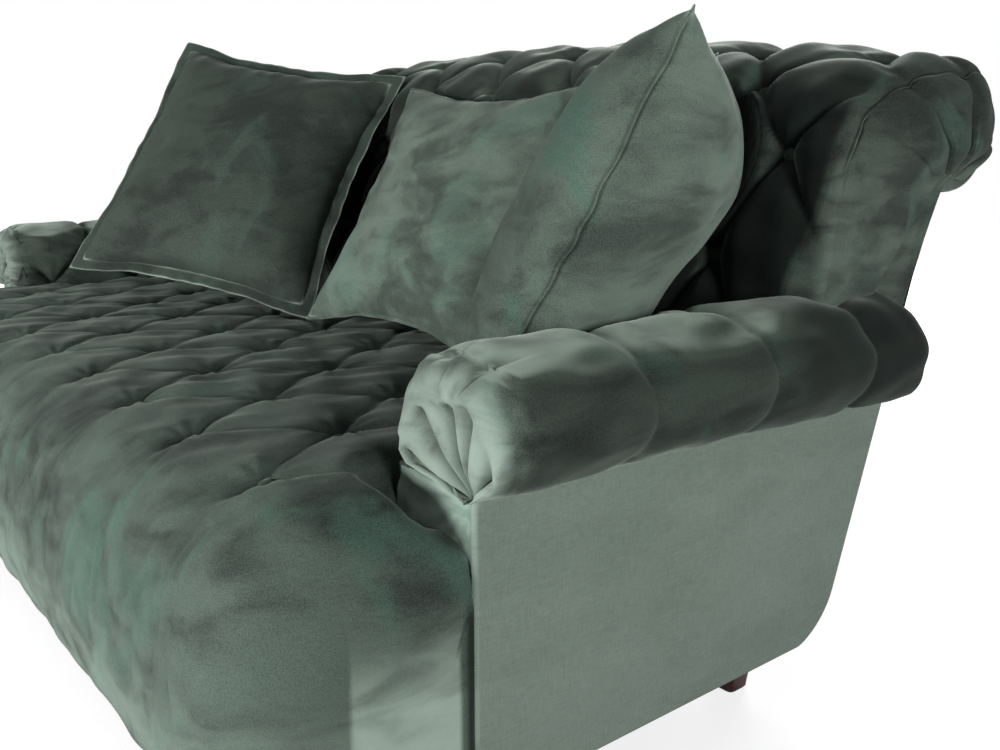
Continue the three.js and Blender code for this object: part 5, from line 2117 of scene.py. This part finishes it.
@dataclass(frozen=True)
class Scatter:
    """Copies of one small shape, with its half sizes in metres, made by a geometry tree."""

    shape: Repeat
    finish: Finish
    size: tuple[float, float, float]

    def _tree(self) -> bpy.types.NodeTree:
        """The tree: points in, realised copies out.

        Returns:
            The tree, with an input for each of the scatter's settings.
        """
        tree = bpy.data.node_groups.new(self.shape.value + "_scatter", "GeometryNodeTree")
        for name, kind in SCATTER_INPUTS.items():
            tree.interface.new_socket(name, in_out="INPUT", socket_type=kind)
        tree.interface.new_socket("Copies", in_out="OUTPUT", socket_type="NodeSocketGeometry")
        graph = Graph(tree)
        given = graph.node("NodeGroupInput").outputs
        points = graph.node("GeometryNodeMeshToPoints", None, {"Mesh": given["Points"], "Radius": 0.001})
        kind = {"data_type": "FLOAT_VECTOR"}
        facing = graph.node("GeometryNodeInputNamedAttribute", kind, {"Name": "facing"})
        aim = {"Vector": facing.outputs["Attribute"]}
        turned = graph.node("FunctionNodeAlignRotationToVector", {"axis": "Z"}, aim)
        vary = graph.node("FunctionNodeRandomValue", {"data_type": "FLOAT"}, {"Seed": given["Seed"]})
        floats = [s for s in vary.inputs if s.type == "VALUE" and s.name in ("Min", "Max")]
        for socket, limit in zip(floats, SCATTER_SCALES):
            socket.default_value = limit
        inputs = {
            "Points": points.outputs[0],
            "Instance": self._shape(graph, given["Size"]),
            "Rotation": turned.outputs[0],
            "Scale": [s for s in vary.outputs if s.type == "VALUE"][0],
        }
        copies = graph.node("GeometryNodeInstanceOnPoints", None, inputs)
        real = graph.node("GeometryNodeRealizeInstances", None, {0: copies.outputs[0]})
        soft = graph.node("GeometryNodeSetShadeSmooth", None, {"Geometry": real.outputs[0]})
        paint = {"Geometry": soft.outputs[0], "Material": given["Finish"]}
        painted = graph.node("GeometryNodeSetMaterial", None, paint)
        graph.node("NodeGroupOutput", None, {"Copies": painted.outputs[0]})
        return tree

    def _shape(self, graph: Graph, size: Socket) -> Socket:
        """The shape that is copied, reaching one unit each way before it is sized.

        Args:
            graph: The scatter's tree.
            size: The tree's input for the size.

        Returns:
            The sized shape.
        """
        if self.shape is Repeat.BUTTON:
            made = graph.node("GeometryNodeMeshUVSphere", None, {"Segments": 18, "Rings": 9, "Radius": 1.0})
        else:
            made = graph.node("GeometryNodeMeshCube", None, {"Size": (2.0, 2.0, 2.0)})
        inputs = {"Geometry": made.outputs[0], "Scale": size}
        return graph.node("GeometryNodeTransform", None, inputs).outputs[0]

    def build(self, name: str, places: Sequence, facing: Sequence) -> Piece:
        """Plain mesh of all copies.

        Args:
            name: Name of the piece.
            places: Points, in millimetres behind the arm fronts.
            facing: Direction in which each copy points.

        Returns:
            The object.
        """
        mesh = bpy.data.meshes.new(name)
        mesh.from_pydata(to_frame(np.array(places)).tolist(), [], [])
        way = mesh.attributes.new("facing", "FLOAT_VECTOR", "POINT")
        way.data.foreach_set("vector", np.array(facing, dtype=float).ravel())
        obj = linked(name, mesh)
        live = obj.modifiers.new("scatter", "NODES")
        live.node_group = self._tree()
        given = {"Size": self.size, "Finish": self.finish.material(), "Seed": 4}
        for item in live.node_group.interface.items_tree:
            if item.in_out == "INPUT" and item.name in given:
                live[item.identifier] = given[item.name]
        return applied(obj)


# Whole


class Sofa:
    """Builds and dresses every piece that rides on the sofa's body."""

    def settle(self, obj: Piece, finish: Finish, slot: str, *nodes: str) -> Piece:
        """Finishes an object and lets it stand for CAD nodes.

        Args:
            obj: The piece.
            finish: Its finish.
            slot: What the piece is made of; not used.
            nodes: CAD nodes that it stands for.

        Returns:
            The same piece.
        """
        dress(obj, finish)
        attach(obj, ROOT)
        if nodes:
            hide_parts(*nodes)
        report(obj)
        return obj

    def upholster(self) -> None:
        """Seat, back, arms and their buttons."""
        seat, back = SeatUpholstery(), BackUpholstery()
        pad = self.settle(seat.build(), SEAT_LIT_VELVET, "velvet", "seat_pad")
        store_painted_shading(pad, seat.pile)
        pad = self.settle(back.build(), TUFTED_VELVET, "velvet", "back_pad")
        store_painted_shading(pad, back.pile)
        self._buttons("seat_buttons", *seat.button_places())
        self._buttons("back_buttons", *back.button_places())
        for label, hand in SIDES.items():
            arm = ArmUpholstery(label, hand)
            pad = self.settle(arm.build(), TUFTED_VELVET, "velvet", label + "_arm_pad")
            store_painted_shading(pad, arm.pile)
            buttons = self._buttons(label + "_arm_buttons", *arm.button_places())
            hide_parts(*(label + "_arm_button_" + str(i) for i in (1, 2, 3)))

    def _buttons(self, name: str, places: list, facing: list) -> Piece:
        """Covered buttons in the hollows of one piece.

        Args:
            name: Name of the piece.
            places: Where the buttons sit.
            facing: The way each faces.

        Returns:
            The buttons as one piece.
        """
        obj = Scatter(Repeat.BUTTON, TUFTED_VELVET, BUTTON_SIZE).build(name, places, facing)
        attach(obj, ROOT)
        report(obj)
        return obj

    def cover(self) -> None:
        """Plain outside panels, facings and the outside back."""
        for label, hand in SIDES.items():
            panels = ArmPanels(label, hand)
            self.settle(panels.outside(), PLAIN_VELVET, "plain_velvet", label + "_outside_arm_panel")
            facing = self.settle(panels.facing(), FACING_LIT_VELVET, "plain_velvet", label + "_arm_facing")
            # Painted light over the whole facing.
            store_painted_shading(facing, lambda places, normals: np.full(len(places), 0.85))
        self.settle(BackPanel().build(), PLAIN_VELVET, "plain_velvet", "outside_back_panel")

    def shoe(self) -> None:
        """Four feet."""
        for label, hand in SIDES.items():
            for row, y in (("front", FRONT_FOOT_Y), ("rear", REAR_FOOT_Y)):
                foot = Foot(label + "_" + row, hand * FOOT_X, y)
                name = label + "_" + row + "_foot"
                self.settle(foot.build(), FOOT_TIMBER, "foot_timber", name)

    def staple(self) -> None:
        """Staples round the edge of the dust lining."""
        low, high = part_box("dust_cover")
        inset, x_margin, y_margin = 9.0, 60.0, 90.0
        z = low.z / MM - 0.4
        x0, x1 = low.x / MM + inset, high.x / MM - inset
        y0, y1 = low.y / MM - ARM_FRONT_Y + inset, high.y / MM - ARM_FRONT_Y - inset
        places = []
        for x in np.linspace(x0 + x_margin, x1 - x_margin, 40):
            places += [(x, y0, z), (x, y1, z)]
        for y in np.linspace(y0 + y_margin, y1 - y_margin, 12):
            places += [(x0, y, z), (x1, y, z)]
        facing = [(0.0, 0.0, -1.0)] * len(places)
        obj = Scatter(Repeat.STAPLE, STEEL, STAPLE_SIZE).build("dust_cover_staples", places, facing)
        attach(obj, ROOT)
        report(obj)

    def finish_frame(self) -> None:
        """Timber, steel, webbing and lining on the frame's own solids."""
        for name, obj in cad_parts.items():
            finish = frame_finish(name)
            if finish is not None:
                dress(obj, finish)


def frame_finish(name: str) -> Finish | None:
    """The finish of a node that keeps its CAD mesh.

    Args:
        name: Name of the node.

    Returns:
        The finish, or None where a piece of upholstery stands for the node.
    """
    if "spring" in name or name.endswith("_bolt"):
        return STEEL
    if "web_strap" in name:
        return STRAP
    if name == "dust_cover":
        return LINING
    if any(word in name for word in ("upright", "strut", "post", "block")):
        return FRAME_TIMBER[Grain.UPRIGHT]
    if any(word in name for word in ("side_rail", "cross_rail", "arm_top_rail", "arm_tack_rail")):
        return FRAME_TIMBER[Grain.DEEP]
    if name.endswith("_rail"):
        return FRAME_TIMBER[Grain.ACROSS]
    return None


@dataclass(frozen=True)
class Lamp:
    """A soft rectangular lamp."""

    name: str
    at: tuple[float, float, float]
    size: tuple[float, float]
    power: float

    def build(self, aim: Vector) -> None:
        """Places the lamp so that it faces a point.

        Args:
            aim: The point that it lights.
        """
        data = bpy.data.lights.new(self.name, "AREA")
        data.shape = "RECTANGLE"
        data.size, data.size_y = self.size
        data.energy = self.power
        obj = linked(self.name, data)
        obj.location = self.at
        obj.rotation_euler = (aim - Vector(self.at)).to_track_quat("-Z", "Y").to_euler()


WHITE = (1.0, 1.0, 1.0, 1.0)


class Studio:
    """Pale sweep, soft light and the photograph's camera."""

    floor_size = 9.0
    lens = 35.23
    eye = (1.7882, -0.9159, 0.7794)
    heading = (51.82, 13.25)
    lamps = (
        Lamp("key", (4.6, -0.5, 1.2), (1.3, 1.3), 150.0),
        Lamp("front", (0.3, -3.3, 0.75), (1.3, 0.9), 170.0),
        Lamp("top", (0.0, -0.4, 3.8), (3.0, 2.0), 16.0),
        Lamp("rear", (-2.2, 4.6, 2.2), (2.6, 2.0), 300.0),
    )

    def build(self) -> None:
        """Everything round the object."""
        self._world()
        self._floor()
        for lamp in self.lamps:
            lamp.build(Vector((0.0, 0.0, 0.4)))
        self._camera()
        scene = bpy.context.scene
        scene.view_settings.view_transform = "Standard"
        scene.view_settings.look = "None"
        scene.render.film_transparent = False

    def _split(self, graph: Graph, lit: bpy.types.Node, seen: bpy.types.Node) -> Socket:
        """One shader for the light that falls on the sofa, another for what the camera sees.

        Args:
            graph: The material's or world's tree.
            lit: The shader for light.
            seen: The shader for the camera.

        Returns:
            The mixed shader.
        """
        path = graph.node("ShaderNodeLightPath")
        choice = {0: path.outputs["Is Camera Ray"], 1: lit.outputs[0], 2: seen.outputs[0]}
        return graph.node("ShaderNodeMixShader", None, choice).outputs[0]

    def _world(self) -> None:
        """White to the camera, faint light on the sofa."""
        world = bpy.data.worlds.new("studio")
        bpy.context.scene.world = world
        graph = cleared(world)
        soft = graph.node("ShaderNodeBackground", None, {"Color": (0.96, 0.98, 1.0, 1.0), "Strength": 0.09})
        plain = graph.node("ShaderNodeBackground", None, {"Color": WHITE, "Strength": 1.0})
        graph.node("ShaderNodeOutputWorld", None, {"Surface": self._split(graph, soft, plain)})

    def _floor(self) -> None:
        """A floor that fades to white away from the sofa and still takes its shadow."""
        size, below = self.floor_size, -0.0005
        corners = [(-size, -size, below), (size, -size, below), (size, size, below), (-size, size, below)]
        mesh = bpy.data.meshes.new("floor")
        mesh.from_pydata(corners, [], [(0, 1, 2, 3)])
        obj = linked("floor", mesh)
        made = bpy.data.materials.new("studio_floor")
        graph = cleared(made)
        matt = graph.node("ShaderNodeBsdfDiffuse", None, {"Color": (0.4, 0.4, 0.4, 1.0)})
        coords = graph.node("ShaderNodeTexCoord")
        away = graph.node("ShaderNodeVectorMath", {"operation": "LENGTH"}, {0: coords.outputs["Object"]})
        far = Field(graph, away.outputs["Value"]).step(1.0, 3.4)
        tone = graph.blend(far, (0.72, 0.72, 0.72, 1.0), WHITE)
        glow = graph.node("ShaderNodeEmission", None, {"Color": tone, "Strength": 1.0})
        both = graph.node("ShaderNodeAddShader", None, {0: matt.outputs[0], 1: glow.outputs[0]})
        graph.node("ShaderNodeOutputMaterial", None, {"Surface": self._split(graph, matt, both)})
        obj.data.materials.append(made)

    def _camera(self) -> None:
        """The camera that the photograph was taken with."""
        data = bpy.data.cameras.new("camera")
        data.lens, data.sensor_width = self.lens, 36.0
        data.clip_start, data.clip_end = 0.02, 60.0
        obj = linked("camera", data)
        obj.location = self.eye
        yaw, pitch = (math.radians(angle) for angle in self.heading)
        obj.rotation_euler = (QUARTER - pitch, 0.0, yaw)
        bpy.context.scene.camera = obj


def main() -> None:
    """Builds the sofa, its cushions and the studio."""
    logging.basicConfig(level=logging.INFO)
    sofa = Sofa()
    sofa.finish_frame()
    sofa.upholster()
    sofa.cover()
    sofa.shoe()
    sofa.staple()
    for cushion in CUSHIONS:
        cushion.build()
    Studio().build()


if __name__ == "__main__":
    main()
